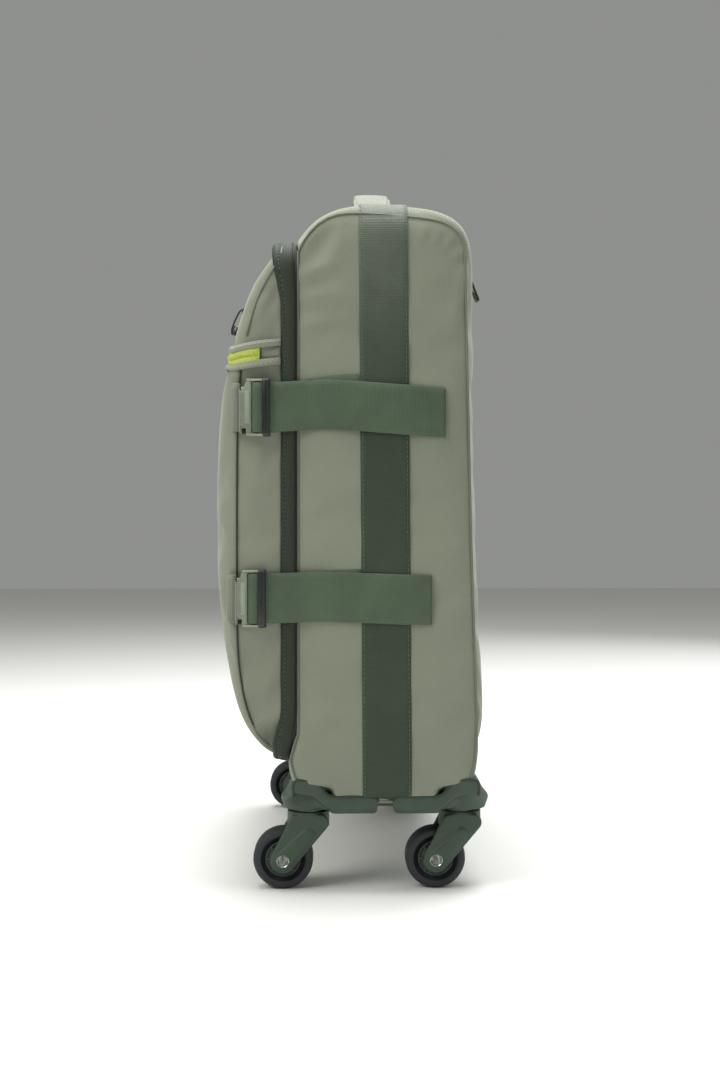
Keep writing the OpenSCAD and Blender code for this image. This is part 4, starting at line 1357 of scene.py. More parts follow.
def top_point(x, y, fallback_z=TOP):
    """The body's fabric, straight down from above."""
    return drop_on(main_tree, (x, y, RAY_TOP), (0, 0, -1), (x, y, fallback_z))



def webbing_rows(centres, outs, acrosses, width, thick, lift=0.0, columns=9):
    """Rows of a rounded flat strap section, for lofted()."""
    section = strap_section(width, thick, 0.6 * MM, columns)
    rows = []
    for c, o, a in zip(centres, outs, acrosses):
        rows.append([np.array(c) + np.array(a) * s + np.array(o) * (h + lift) for s, h in section])
    return rows


def strap_piece(name, centres, outs, acrosses, width, thick, lift=0.0, mat=None, inset=1.6 * MM,
                thread_mat=None, uneven=0.12 * MM):
    """A strap with a stitch row inside each edge. Returns the strap and its stitches as a list of pieces."""
    centres = np.array(centres, float)
    outs = np.array(outs, float)
    acrosses = np.array(acrosses, float)
    for i, c in enumerate(centres):
        outs[i] = outs[i] / np.linalg.norm(outs[i])
        centres[i] = c + outs[i] * uneven * noise.noise(Vector(c * 60))
    strap = solid(name, webbing_rows(centres, outs, acrosses, width, thick, lift))
    paint(strap, mat or mat_webbing)
    pieces = [strap]
    if thread_mat is not None:
        for edge in (-1, 1):
            path = centres + outs * (thick + lift) + acrosses * edge * (width / 2 - inset)
            seam = stitches(name + "_seam", path, outs, pitch=3.4 * MM, length=2.3 * MM)
            paint(seam, thread_mat)
            pieces.append(seam)
    return pieces


def band_middle(z):
    """The band's middle moves a little forward on its way up."""
    return (26.2 - 3.0 * min(1.0, max(0.0, (z / MM - 80) / 410))) * MM


def centre_band():
    """The wide webbing bands that run from under the body up each side and over the top."""
    thick = 1.3 * MM
    for side, word in SIDES:
        low = band_middle(0.08)
        foot = ((160, 62.4), (166, 62.5), (171, 63.6), (174.2, 66.6))
        centres = [(side * x * MM, low, z * MM) for x, z in foot]
        outs = [(0, 0, -1), (side * 0.2, 0, -1), (side * 0.6, 0, -0.8), (side * 0.9, 0, -0.35)]
        for z in np.arange(72, 470, 6) * MM:
            y = band_middle(z)
            centres.append(side_point(side, y, z))
            outs.append((side, 0, 0))
        pivot = np.array((side * 0.157, band_middle(0.49), 0.470))
        for a in np.radians(np.linspace(4, 86, 12)):
            direction = np.array((side * math.cos(a), 0, math.sin(a)))
            centres.append(drop_on(main_tree, pivot + direction * 0.09, -direction, pivot + direction * 0.02))
            outs.append(direction)
        for x in np.arange(152, 60, -6) * MM:
            y = band_middle(0.49)
            centres.append(top_point(side * x, y))
            outs.append((0, 0, 1))
        centres = soften(centres, 2)
        outs = soften(outs, 3)
        across = [(0, 1, 0)] * len(centres)
        pieces = strap_piece("centre_band_" + word, centres, outs, across, BAND_W - 0.6 * MM, thick,
                             -0.1 * MM, mat_band, 1.7 * MM, mat_green_thread)
        # a dark tube across the band where it bends over the top: a painted shadow line in the fold
        fold = [(side * 0.1735, band_middle(0.49) + dy * MM, 0.4885) for dy in (-18.4, -9, 0, 9, 18.4)]
        fold_shadow = recalc(sweep("band_fold", fold, ellipse(1.1 * MM, 1.1 * MM, 8)))
        paint(fold_shadow, mat_shadow)
        whole = join(pieces + [fold_shadow], "centre_band_" + word)
        place(whole, "root", "forest_webbing", "centre_bands")


def side_surface(side, y, z):
    """How far out the body's fabric lies at a place on its side."""
    return side_point(side, y, z)[0] * side


def strap_bow(y, share):
    """A strap rises a little ahead of the centre band and sinks towards its sewn end."""
    return share * MM * float(np.interp(y / MM, (-58, -40, -17, 6, 24, 68), (0, 1.4, 2.6, 1.1, -0.4, -3.4)))


def strap_line(side, z, y_from, y_to, count, share):
    """The strap's underside along the side: on the fabric, over the centre band."""
    line = []
    for y in np.linspace(y_from, y_to, count):
        x = max(side_surface(side, max(y, -0.034), z + dz) for dz in (-12 * MM, 0, 12 * MM))
        over = ease((y / MM - 0) / 8) * ease((52 - y / MM) / 8)
        x = x + 0.3 * MM + 1.4 * MM * over + 0.8 * MM * ease((12 - y / MM) / 10)
        line.append((side * x, y, z + strap_bow(y, share)))
    return soften(line, 3)


def end_seams(side, z, tail_y, thick, share):
    """Two dark seam rows across the strap, ahead of its free end."""
    rows = []
    for y in (tail_y - 13.5 * MM, tail_y - 15.9 * MM):
        seam = []
        for dz in np.linspace(-16.5, 16.5, 9) * MM:
            level = z + strap_bow(y, share) + dz
            seam.append((side * (side_surface(side, y, level) + thick + 0.55 * MM), y, level))
        thread = stitches("strap_end_seam", seam, (side, 0, 0), pitch=2.6 * MM, length=2.1 * MM)
        paint(thread, mat_dark_thread)
        rows.append(thread)
    return rows


def strap_outs(path, side):
    """Outward directions of a strap that runs level, from its own bends."""
    outs = []
    for i in range(len(path)):
        d = path[min(i + 1, len(path) - 1)] - path[max(i - 1, 0)]
        outs.append(np.cross((0, 0, -1), d / np.linalg.norm(d)))
    outs = np.array(outs)
    return outs if outs[0][0] * side > 0 else -outs


STRAP_ROWS = (("upper", strap_upper_z, 68 * MM, 0.0, 1.0), ("lower", strap_lower_z, 58 * MM, 3 * MM, 0.5))
# the strap round the plug's middle bar: (out, along) in millimetres
RIGHT_TURN = [(178.6, -40), (179.6, -48), (179.2, -56.5), (179.4, -60.6), (181.6, -64.8), (182.2, -67.3),
              (181.4, -70.6), (179.4, -71.2), (177.6, -70.0), (176.9, -63.6), (176.9, -54)]


def strap(side, row):
    """One compression strap: sewn behind the centre band, bowed, and folded round the plug's bar."""
    word, z, tail_y, lead, share = row
    thick = 1.6 * MM
    line = [tuple(p) for p in strap_line(side, z, tail_y, -30 * MM, 26, share)]
    turn = RIGHT_TURN if side > 0 else RIGHT_TURN[:-1]
    for out, along in turn:
        y = along * MM - (lead if along < -50 else 0)
        line.append((side * out * MM, y, z + strap_bow(y, share)))
    path = resample(soften(line, 1), 74)
    name = "strap_%s_%s" % (word, "right" if side > 0 else "left")
    pieces = strap_piece(name, path, strap_outs(path, side), [(0, 0, 1)] * len(path), STRAP_W, thick, 0,
                         mat_webbing)
    whole = join(pieces + end_seams(side, z, tail_y, thick, share), name)
    if side > 0:
        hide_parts("strap_%s_right" % word)
        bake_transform(whole)
    else:
        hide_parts("straps_left")
        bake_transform(whole)
    under = []
    for y in np.linspace(7, -33, 14) * MM:
        level = z + share * (5.6 + (y / MM) * 0.075) * MM
        x = max(side_surface(side, y, level + dz) for dz in (-12 * MM, 0, 12 * MM))
        under.append((side * (x + 0.15 * MM), y, level))
    under = soften(under, 3)
    layer = join(strap_piece(name + "_under", under, strap_outs(under, side), [(0, 0, 1)] * len(under),
                             STRAP_W, 0.9 * MM, 0, mat_webbing), name + "_under")
    place(layer, "root", "forest_webbing")


HANDLE_FOOT = 84 * MM                   # half the handle's span on the top
HANDLE_ROWS = 61
HANDLE_RISE = carry_hi.z - TOP - 2 * MM
HANDLE_R = (HANDLE_FOOT ** 2 + HANDLE_RISE ** 2) / (2 * HANDLE_RISE)
HANDLE_Z = carry_hi.z - HANDLE_R        # height of the arch's centre
HANDLE_Y = (carry_lo.y + carry_hi.y) / 2


def handle_row(i):
    """One place on the handle's arch: (how far it is folded, outward direction, x, z)."""
    s = i / (HANDLE_ROWS - 1) * 2 - 1
    a = s * math.asin(HANDLE_FOOT / HANDLE_R)
    grip = ease((0.62 - abs(s)) / 0.16)
    out = np.array((math.sin(a), 0, math.cos(a)))
    return grip, out, HANDLE_R * math.sin(a), HANDLE_Z + HANDLE_R * math.cos(a)


def handle_band():
    """The padded band: its upper face and its lower one, folded in the middle."""
    rows = []
    for i in range(HANDLE_ROWS):
        grip, out, x, z = handle_row(i)
        centre = np.array((x, 0, z))
        width = 30 * MM * (1 - 0.06 * grip)
        thick = (3.6 + 2.4 * grip) * MM
        drop = 1.3 * MM * grip
        sink = 3.0 * MM * grip
        row = []
        for u in np.linspace(-1, 1, 11):
            arch = -drop * u ** 4 - sink
            row.append(centre + out * (arch - 0.2 * MM) + np.array((0, HANDLE_Y + u * width / 2, 0)))
        for u in np.linspace(1, -1, 11):
            arch = -drop * u ** 4 - sink
            puff = thick * (0.75 + 0.25 * (1 - u * u))
            row.append(centre + out * (arch - puff) + np.array((0, HANDLE_Y + u * width / 2 * 0.985, 0)))
        rows.append(row)
    handle = solid("carry_handle_band", rows)
    add_modifier(handle, "BEVEL", width=0.9 * MM, segments=2, limit_method="ANGLE", angle_limit=0.7)
    return paint(apply_modifiers(handle), mat_handle)


def handle_seam(edge):
    """The stitches beside one edge of the band."""
    path, outs = [], []
    for i in range(2, HANDLE_ROWS - 2):
        grip, out, x, z = handle_row(i)
        path.append(np.array((x, HANDLE_Y + edge * 0.82 * 15 * MM, z)) - out * 4.2 * MM * grip)
        outs.append(out)
    return paint(stitches("handle_seam", path, outs, pitch=3.6 * MM, length=2.6 * MM), mat_thread)


def handle_patch(side, word):
    """The patch under one end of the handle, with its crossed box of stitches."""
    x = side * 90 * MM
    z = top_point(x, HANDLE_Y)[2]
    rows = []
    for dx in np.linspace(-17, 17, 11) * MM:
        row = []
        for u in np.linspace(-1, 1, 7):
            px, py = x + dx, HANDLE_Y + u * 16 * MM
            pz = top_point(px, py, z)[2]
            row.append((px, py, pz + 3.2 * MM - 1.1 * MM * abs(u) ** 6))
        rows.append(row)
    patch = recalc(lofted("handle_patch_" + word, rows))
    add_modifier(patch, "SOLIDIFY", thickness=1.6 * MM, offset=-1)
    pieces = [paint(apply_modifiers(patch), mat_handle)]
    box_path = []
    for cx, cy in ((-1, -1), (1, -1), (1, 1), (-1, 1), (-1, -1), (1, 1)):
        box_path.append(np.array((x + cx * 14 * MM, HANDLE_Y + cy * 13 * MM, z + 3.3 * MM)))
    for start, end in zip(box_path[:-1], box_path[1:]):
        line = [start + (end - start) * t for t in (0.0, 0.5, 1.0)]
        seam = stitches("handle_box_seam", line, (0, 0, 1), pitch=2.8 * MM, length=2.0 * MM)
        pieces.append(paint(seam, mat_thread))
    place(join(pieces, "handle_patch_" + word), "root", "sage_webbing")


def folded_handle():
    """The carry handle: a padded band folded to half its width in the middle and sewn to the top."""
    pieces = [handle_band(), handle_seam(-1), handle_seam(1)]
    place(join(pieces, "carry_handle_band"), "root", "sage_webbing", "carry_handle")
    for side, word in SIDES:
        handle_patch(side, word)


mat_coil = moulded_material("dark_zip_coil", (0.020, 0.030, 0.018), 0.4, 0.6 * MM, 0.2)
mat_lime_coil = moulded_material("lime_zip_coil", (0.42, 0.48, 0.07), 0.4, 0.6 * MM, 0.1)
mat_dark_thread = moulded_material("dark_thread", (0.025, 0.045, 0.025), 0.7, 0.4 * MM, 0.0)
mat_handle = webbing_material("handle_webbing", tuple(c * 0.78 for c in SAGE), 1.3 * MM, 0.78)

zip_band()
main_zip_teeth()
seam_piping()
pocket_hems()
upper_zip()
centre_band()
for row in STRAP_ROWS:
    for side in (1, -1):
        strap(side, row)
back_zip()
folded_handle()
paint(main_fabric, mat_twill)
paint(lid_fabric, mat_twill)
place(main_fabric, "root", "sage_twill", "main_shell")
place(lid_fabric, "lid", "sage_twill", "lid_shell")


# ---------------------------------------------------------------- moulded pieces

def from_bmesh(name, bm):
    """A smooth piece from a finished bmesh."""
    mesh = bpy.data.meshes.new(name)
    bm.to_mesh(mesh)
    bm.free()
    obj = bpy.data.objects.new(name, mesh)
    shade_smooth(obj)
    scene.collection.objects.link(obj)
    return obj


def box_piece(name, low, high, r=0.8, segments=3):
    """A box in millimetres with rounded edges."""
    bm = bmesh.new()
    bmesh.ops.create_cube(bm, size=1.0)
    for v in bm.verts:
        for k in range(3):
            v.co[k] = (low[k] if v.co[k] < 0 else high[k]) * MM
    bmesh.ops.bevel(bm, geom=bm.edges, offset=r * MM, segments=segments, profile=0.5, affect="EDGES")
    return from_bmesh(name, bm)


def plate_piece(name, outline, x_low, x_high, r=0.7, segments=3):
    """A plate across X from an outline in (y, z), with rounded edges."""
    bm = bmesh.new()
    low = [bm.verts.new((x_low * MM, y * MM, z * MM)) for y, z in outline]
    face = bm.faces.new(low)
    result = bmesh.ops.extrude_face_region(bm, geom=[face])
    for v in (g for g in result["geom"] if isinstance(g, bmesh.types.BMVert)):
        v.co.x = x_high * MM
    bmesh.ops.recalc_face_normals(bm, faces=bm.faces)
    rims = [e for e in bm.edges if abs(e.verts[0].co.x - e.verts[1].co.x) < 1e-7]
    bmesh.ops.bevel(bm, geom=rims, offset=r * MM, segments=segments, profile=0.5, affect="EDGES")
    return from_bmesh(name, bm)


def lathe(name, outline, centre, count=64):
    """A piece turned round X, from a closed outline of (radius, along) points in millimetres."""
    verts = []
    for i in range(count):
        a = 2 * math.pi * i / count
        for r, s in outline:
            p = (s, r * math.cos(a), r * math.sin(a))
            verts.append(tuple((c + q) * MM for c, q in zip(centre, p)))
    return recalc(make_object(name, verts, grid_faces(count, len(outline), True, True)))


def both_ways(half):
    """A turned outline that is the same on both sides of the wheel's middle."""
    return half + [(r, -along) for r, along in half[::-1]]


def melt(obj, voxel, passes=6, factor=0.5):
    """Fuses overlapping shapes into one moulding with soft edges."""
    obj.data.remesh_voxel_size = voxel * MM
    add_modifier(obj, "REMESH", mode="VOXEL", voxel_size=voxel * MM, use_smooth_shade=True)
    add_modifier(obj, "SMOOTH", iterations=passes, factor=factor)
    apply_modifiers(obj)
    shade_smooth(obj)
    return obj


def cad_copy(node, name):
    """The CAD node's own surface as a new mesh in the row frame."""
    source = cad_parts[node]
    mesh = source.data.copy()
    mesh.transform(source.matrix_world)
    mesh.materials.clear()
    obj = bpy.data.objects.new(name, mesh)
    scene.collection.objects.link(obj)
    return obj


def to_left(obj, side=-1):
    """Pieces are made for the right side; the left ones are their mirror image."""
    if side < 0:
        obj.data.transform(Matrix.Scale(-1, 4, (1, 0, 0)))
        obj.data.flip_normals()
    return obj


def left_copy(obj, name):
    """A finished right-hand piece again, mirrored to the left side."""
    copy = obj.copy()
    copy.data = obj.data.copy()
    copy.name = name
    scene.collection.objects.link(copy)
    return to_left(copy)


# ---- guards

CASTER_X = 150
CASTER_Y = {"front": -31, "rear": 81}
GUARD_X = 177.6

# rows of the flared seat: (height, reach to the case's end, reach to its side, roundness)
SEAT_ROWS = ((58.3, 17.5, 17.4, 2.0), (59.2, 18.3, 18.0, 2.0), (62.0, 18.6, 18.3, 2.0),
             (63.5, 19.6, 18.8, 2.1), (66.5, 20.3, 20.5, 2.3), (68.8, 19.6, 22.5, 2.7),
             (71.0, 17.4, 24.5, 3.2), (74.0, 15.2, 26.3, 4.0), (76.0, 14.2, 27.0, 4.4),
             (79.0, 12.6, 27.1, 4.8), (82.2, 11.2, 27.2, 5.0))
INNER_REACH = 16.0                      # how far the seat goes in under the body


def seat_ring(z, end_reach, side_reach, power, corner, at):
    """One ring of the flared seat round the caster."""
    ring = []
    for a in np.radians(np.arange(0, 360, 5)):
        dx, dv = math.cos(a), math.sin(a)
        rx = side_reach if dx > 0 else INNER_REACH
        rv = end_reach - 10.6 + corner if dv > 0 else INNER_REACH
        r = (abs(dx / rx) ** power + abs(dv / rv) ** power) ** (-1 / power)
        ring.append(((CASTER_X + dx * r) * MM, at(dv * r) * MM, z * MM))
    return ring


def guard(word):
    """One corner guard: a flared seat round the caster, a cheek up the corner, and a long rolled foot."""
    way = -1 if word == "front" else 1
    centre_y = CASTER_Y[word]
    corner = 10.6 if word == "front" else 11.6
    body_edge = 6.2 if word == "front" else 8.0

    def at(v):
        return centre_y + way * v

    def block(name, x_low, x_high, v_low, v_high, z_low, z_high, r):
        ends = sorted((at(v_low), at(v_high)))
        return box_piece(name, (x_low, ends[0], z_low), (x_high, ends[1], z_high), r)

    profile = [(corner, 73), (corner, 80.5), (corner - 0.8, 82.4), (corner - 2.6, 83), (-2.5, 83),
               (-5.2, 82.2), (-8.0, 79.6), (-10.6, 76.2), (-13.2, 73.2), (-16.0, 71.6), (-19.0, 71.0),
               (-45.0, 71.0), (-48.6, 70.2), (-50.8, 68.0), (-51.3, 65.4), (-50.6, 62.8), (-48.4, 61.4),
               (-44.0, 61.0), (-18.0, 61.4), (-13.0, 63.0), (-8, 67), (-3, 71)]
    cheek = plate_piece("cheek", [(at(v), z) for v, z in profile], 171, GUARD_X - 0.4, 1.2)
    roll_keys = ((3, 160.5), (-3, 165.5), (-9, 169.8), (-15, 172.4), (-21, 173.5), (-28, 173.8), (-37, 173.8),
                 (-46.2, 173.8))
    roll_path = mm([(x, at(v), 65.6) for v, x in roll_keys])
    roll = sweep("roll", roll_path, ellipse(10.8 * MM, 7.4 * MM, 20), up=[(1, 0, 0)] * len(roll_path))
    parts = [cheek, roll,
             block("tray_foot", 118, 175.5, -50, -16, 58, 62.6, 1.5),
             block("tray_seat", 118, 160, -16, body_edge + 2, 58, 62.6, 1.5),
             block("front", 118, 150, body_edge - 3, corner, 59.5, 74.0, 1.8),
             block("nose", 141, GUARD_X - 1.6, body_edge - 3, corner, 72.0, 82.6, 1.8)]
    rings = [seat_ring(*row, corner, at) for row in SEAT_ROWS]
    parts.append(solid("flare", rings))
    whole = join(parts, "guard_" + word)
    melt(whole, 1.0, 12)
    # a darker tube along the guard's top edge: painted shade in the hollow between fabric and guard
    edge_keys = [(corner - 0.2, 72), (corner - 0.2, 80.3), (corner - 1.2, 82.6), (corner - 3, 83.1),
                 (-2.3, 83.1), (-5.4, 82.3), (-8.2, 79.6), (-10.8, 76.2), (-13.4, 73.2), (-16.1, 71.6),
                 (-19.0, 71.1), (-45.0, 71.1), (-48.6, 70.2), (-50.8, 68.0)]
    edge = soften(resample(mm([(GUARD_X - 1.7, at(v), z - 0.7) for v, z in edge_keys]), 60), 2)
    edge_shade = recalc(sweep("guard_edge_" + word, edge, ellipse(2.6 * MM, 2.6 * MM, 12),
                          up=[(1, 0, 0)] * len(edge)))
    return whole, edge_shade


def guards():
    """The four corner guards, a darker tube along each one's top edge as painted shade, and the clean gap
    under the body between them.
    """
    for word in ("front", "rear"):
        right, right_edge_shade = guard(word)
        left = left_copy(right, "guard_%s_left" % word)
        left_edge_shade = left_copy(right_edge_shade, "guard_edge_%s_left" % word)
        right.name = "guard_%s_right" % word
        right_edge_shade.name = "guard_edge_%s_right" % word
        for obj in (right, left):
            dress(obj, mat_moulded, "root", "moulded_green", "guards_" + word)
        for obj in (right_edge_shade, left_edge_shade):
            dress(obj, mat_guard_shade, "root", "moulded_green")


# ---- casters

FORK_LENGTH = 26.4
FORK_RISE = 19.0
TRAIL = 18.4                            # how far the wheel's axle lies ahead of its swivel
WHEEL_R = 22                            # wheel radius, and so the height of its axle
# half outlines of the turned pieces: (radius, along) in millimetres
AXLE_HALF = [(4.4, 15.2), (5.0, 16.0), (5.0, 16.4), (4.35, 16.2), (3.75, 15.6), (3.7, 14.8)]
TYRE_HALF = [(22.0, 6.2), (21.6, 8.0), (20.6, 9.3), (19.4, 9.9), (17.0, 10.0), (16.2, 9.7), (15.7, 8.6),
             (15.2, 7.4), (13.0, 7.4)]
HUB_HALF = [(13.1, 8.2), (12.8, 8.9), (12.0, 8.9), (11.4, 8.3), (8.6, 8.6), (8.2, 9.6), (7.6, 10.2),
            (5.2, 10.2)]


def fork_piece(name, x0, wheel_y):
    """The fork with its two rounded cheeks fused on, bored for the hollow axle."""
    parts = [cad_copy("fork_" + name, "fork_piece_" + name)]
    slope = Vector((0, TRAIL, FORK_RISE)).normalized()
    across = Vector((1, 0, 0)).cross(slope)
    outline = arc_points((0, 0), 6.2, 90, 270, 13) + arc_points((FORK_LENGTH, 0), 4.3, -90, 90, 13)
    for face in (-1, 1):
        middle = Vector((x0 + face * 15.0, wheel_y, WHEEL_R))
        rows = []
        for dx, shrink in ((-1.0, 1.0), (1.2, 1.0), (1.7, 0.92), (1.7, 0.02)):
            row = []
            for u, v in outline:
                cu = (u - FORK_LENGTH / 2) * shrink + FORK_LENGTH / 2
                row.append((middle + slope * cu + across * v * shrink + Vector((face * dx, 0, 0))) * MM)
            rows.append(row)
        parts.append(solid("fork_slab", rows))
    whole = join(parts, "fork_piece_" + name)
    melt(whole, 0.75, 5)
    bore = [(4.45, -20), (4.45, 20), (0.02, 20), (0.02, -20)]
    bored = lathe("bore", bore, (x0, wheel_y, WHEEL_R))
    cut = add_modifier(whole, "BOOLEAN", operation="DIFFERENCE", solver="EXACT")
    cut.object = bored
    apply_modifiers(whole)
    bpy.data.objects.remove(bored)
    dress(whole, mat_moulded, "caster_" + name, "moulded_green", "fork_" + name)


def tyre_piece(name, centre):
    """The tyre, painted near-black inside its groove beside the hub: painted shade in the hollow."""
    tyre = lathe("tyre_piece_" + name, both_ways(TYRE_HALF), centre, count=96)
    paint(tyre, mat_tyre, mat_groove_shade)
    middle = Vector(centre) * MM
    # faces inside the groove take the second, near-black material: painted shade
    for face in tyre.data.polygons:
        offset = face.center - middle
        if math.hypot(offset.y, offset.z) < 16.4 * MM:
            face.material_index = 1
    place(tyre, "wheel_" + name, "tyre_rubber", "tyre_" + name)


def hub_piece(name, centre):
    """The hub with eight ribs on each face."""
    hub = lathe("hub_piece_" + name, both_ways(HUB_HALF), centre, count=72)
    at = Matrix.Translation(tuple(c * MM for c in centre))
    ribs = []
    for k in range(8):
        turn = Matrix.Rotation(2 * math.pi * k / 8, 4, "X")
        for face in (-1, 1):
            low, high = sorted((face * 8.0, face * 9.3))
            rib = box_piece("rib", (low, 8.2, -0.7), (high, 12.2, 0.7), 0.4, 2)
            rib.data.transform(at @ turn)
            ribs.append(rib)
    hub = join([hub] + ribs, "hub_piece_" + name)
    dress(hub, mat_hub, "wheel_" + name, "charcoal_plastic", "hub_" + name)


def caster(word, side):
    """Fork, axle, tyre and hub of one caster."""
    name = "%s_%s" % (word, side)
    x0 = CASTER_X if side == "right" else -CASTER_X
    wheel_y = CASTER_Y[word] - TRAIL
    centre = (x0, wheel_y, WHEEL_R)
    fork_piece(name, x0, wheel_y)
    axle = lathe("axle_piece_" + name, both_ways(AXLE_HALF), centre, count=48)
    dress(axle, mat_axle, "caster_" + name, "axle_metal", "axle_" + name)
    tyre_piece(name, centre)
    hub_piece(name, centre)


# ---- buckles

BUCKLES = (("upper", strap_upper_z / MM, 0), ("lower", strap_lower_z / MM, 3))


def buckle_outline(z0, lead):
    """One socket seen from the side, with a round notch near its top and a slot near its foot."""
    keys = [(-80.5, -14.6), (-80.5, 12.2), (-79.8, 13.6)]
    keys += arc_points((-78.1, 13.4), 1.7, 180, 395, 12)
    keys += [(-76.2, 16.2), (-75.0, 18.6), (-72.6, 20.0), (-71.6, 20.2), (-71.6, -20.0), (-72.6, -20.2),
             (-74.6, -18.6), (-75.2, -18.6)]
    keys += arc_points((-76.8, -14.4), 1.5, 0, 180, 10)
    keys += [(-78.6, -18.6), (-79.6, -18.4)]
    return [(y - lead, z0 + z) for y, z in keys]


def buckle_sockets():
    """The sage sockets on the lid, each held by a folded tab that comes out of the pocket's side slit."""
    for side, word in SIDES:
        for level, z0, lead in BUCKLES:
            parts = [plate_piece("socket", buckle_outline(z0, lead), 176.4, 182.2, 0.7),
                     box_piece("panel", (181.4, -76.2 - lead, z0 - 11.6),
                               (182.9, -72.4 - lead, z0 + 11.6), 0.6)]
            for up in (-1, 1):
                parts.append(box_piece("rail", (177.0, -75.0 - lead, z0 + up * 19.6 - 0.8),
                                       (182.9, -71.2 - lead, z0 + up * 19.6 + 0.8), 0.5, 2))
            whole = to_left(join(parts, "buckle_socket_%s_%s" % (level, word)), side)
            dress(whole, mat_buckle, "lid", "sage_plastic", "buckle_sockets")
            # dark boxes inside the socket's notch and slot: painted shadow in the holes
            notch_shades = []
            for y_low, y_high, z_low, z_high in ((-79.6, -76.6, 11.9, 15.0), (-78.2, -75.4, -18.4, -12.9)):
                notch_shades.append(box_piece("pit", (176.2, y_low - lead, z0 + z_low),
                                      (177.6, y_high - lead, z0 + z_high), 0.3, 2))
            pit = to_left(join(notch_shades, "buckle_notch_%s_%s" % (level, word)), side)
            dress(pit, mat_shadow, "lid", "sage_plastic")
            keys = [(171.5, -83.2), (174.6, -84.2), (177.6, -85.0), (180.2, -84.6), (181.5, -82.8),
                    (181.2, -81.2), (179.2, -80.7), (177.0, -81.0)]
            path = resample(soften(mm([(x, y - lead, z0) for x, y in keys]), 1), 30)
            outs = []
            for i in range(len(path)):
                d = path[min(i + 1, len(path) - 1)] - path[max(i - 1, 0)]
                outs.append(np.cross((0, 0, 1), d / np.linalg.norm(d)) * -1)
            tab = join(strap_piece("buckle_tab", path, outs, [(0, 0, 1)] * len(path), 34.6 * MM, 1.5 * MM, 0,
                                   mat_handle), "buckle_tab_%s_%s" % (level, word))
            place(to_left(tab, side), "lid", "sage_webbing", "buckle_tabs")


def buckle_plug(z0, lead):
    """Plug with its ladder frame: pale rails, the bar that the webbing wraps, and the black end bar."""
    def bar(name, x_low, x_high, y_low, y_high, z_low, z_high, r, segments=3):
        return box_piece(name, (x_low, y_low - lead, z0 + z_low), (x_high, y_high - lead, z0 + z_high), r,
                         segments)

    pale = [bar("front_bar", 177.6, 181.4, -71.4, -70.2, -19.6, 19.6, 0.5)]
    dark = [bar("end_bar", 180.9, 184.6, -63.9, -58.2, -20.4, 20.4, 1.7, 4),
            bar("ridge", 184.0, 185.1, -62.4, -61.5, -18.8, 18.8, 0.42, 3),
            bar("ridge", 184.0, 184.9, -60.6, -60.0, -18.8, 18.8, 0.28, 3),
            bar("middle_bar", 178.6, 181.6, -69.4, -65.0, -19.2, 19.2, 1.0)]
    for up in (-1, 1):
        middle = up * 19.6
        pale.append(bar("rail", 178.2, 183.0, -72.2, -60.2, middle - 0.8, middle + 0.8, 0.6))
        pale.append(bar("prong", 178.6, 181.2, -79.0, -71.0, up * 12.5 - 2.4, up * 12.5 + 2.4, 0.7))
        dark.append(bar("cap", 178.6, 183.8, -63.4, -57.6, middle - 1.3, middle + 1.3, 0.8))
    return pale, dark


def buckle_plugs():
    for level, z0, lead in BUCKLES:
        for side, word in SIDES:
            pale, dark = buckle_plug(z0, lead)
            frame_piece = paint(join(pale, "plug_frame_%s_%s" % (level, word)), mat_buckle)
            bar_piece = paint(join(dark, "plug_bar_%s_%s" % (level, word)), mat_black)
            node = "buckle_plug_%s_right" % level if side > 0 else "buckle_plugs_left"
            body = "plug_%s_right" % level if side > 0 else "lid"
            for piece, slot_name in ((frame_piece, "sage_plastic"), (bar_piece, "black_plastic")):
                place(to_left(piece, side), body, slot_name, node)


# ---- sliders and pulls

# rows of a slider's body: (along, half width, thickness) in millimetres
SLIDER_ROWS = ((-4.4, 3.0, 1.9), (-3.9, 3.7, 2.4), (-1.5, 3.4, 2.7), (1.0, 2.9, 2.7), (3.4, 2.2, 2.3),
               (4.2, 1.6, 1.7))


def slider_piece(name, centre, along, out, node, slot_name):
    """A zip slider: a waisted body with a bridge over it."""
    a, o = Vector(along).normalized(), Vector(out).normalized()
    s = a.cross(o)
    c = Vector(centre)
    rows = []
    for t, wide, thick in SLIDER_ROWS:
        row = []
        for q in range(14):
            angle = 2 * math.pi * q / 14
            w = wide * math.copysign(abs(math.cos(angle)) ** 0.6, math.cos(angle))
            h = thick / 2 * math.copysign(abs(math.sin(angle)) ** 0.6, math.sin(angle))
            row.append(c + (a * t + s * w + o * (h + 1.0)) * MM)
        rows.append(row)
    base = solid(name, rows)
    bridge_path = [c + (a * t + o * h) * MM for t, h in
                   ((-2.8, 2.0), (-2.5, 3.2), (-1.2, 3.9), (0.6, 3.8), (2.0, 3.0), (2.4, 2.0))]
    bridge = recalc(sweep("bridge", bridge_path, ellipse(1.3 * MM, 1.9 * MM, 10)))
    whole = join([base, bridge], name)
    dress(whole, mat_slider, node, slot_name, node)


def loop_path(length, half, count=40, neck=0.35):
    """A narrow drop-shaped loop in a plane: (along, across) points from its top round and back."""
    pts = []
    for i in range(count):
        a = 2 * math.pi * i / count
        u = (1 - math.cos(a)) / 2
        wide = half * (neck + (1 - neck) * math.sin(u * math.pi * 0.72) ** 0.8)
        pts.append((u * length, wide * math.copysign(1, math.sin(a)) * min(1.0, abs(math.sin(a)) * 1.6)))
    return pts


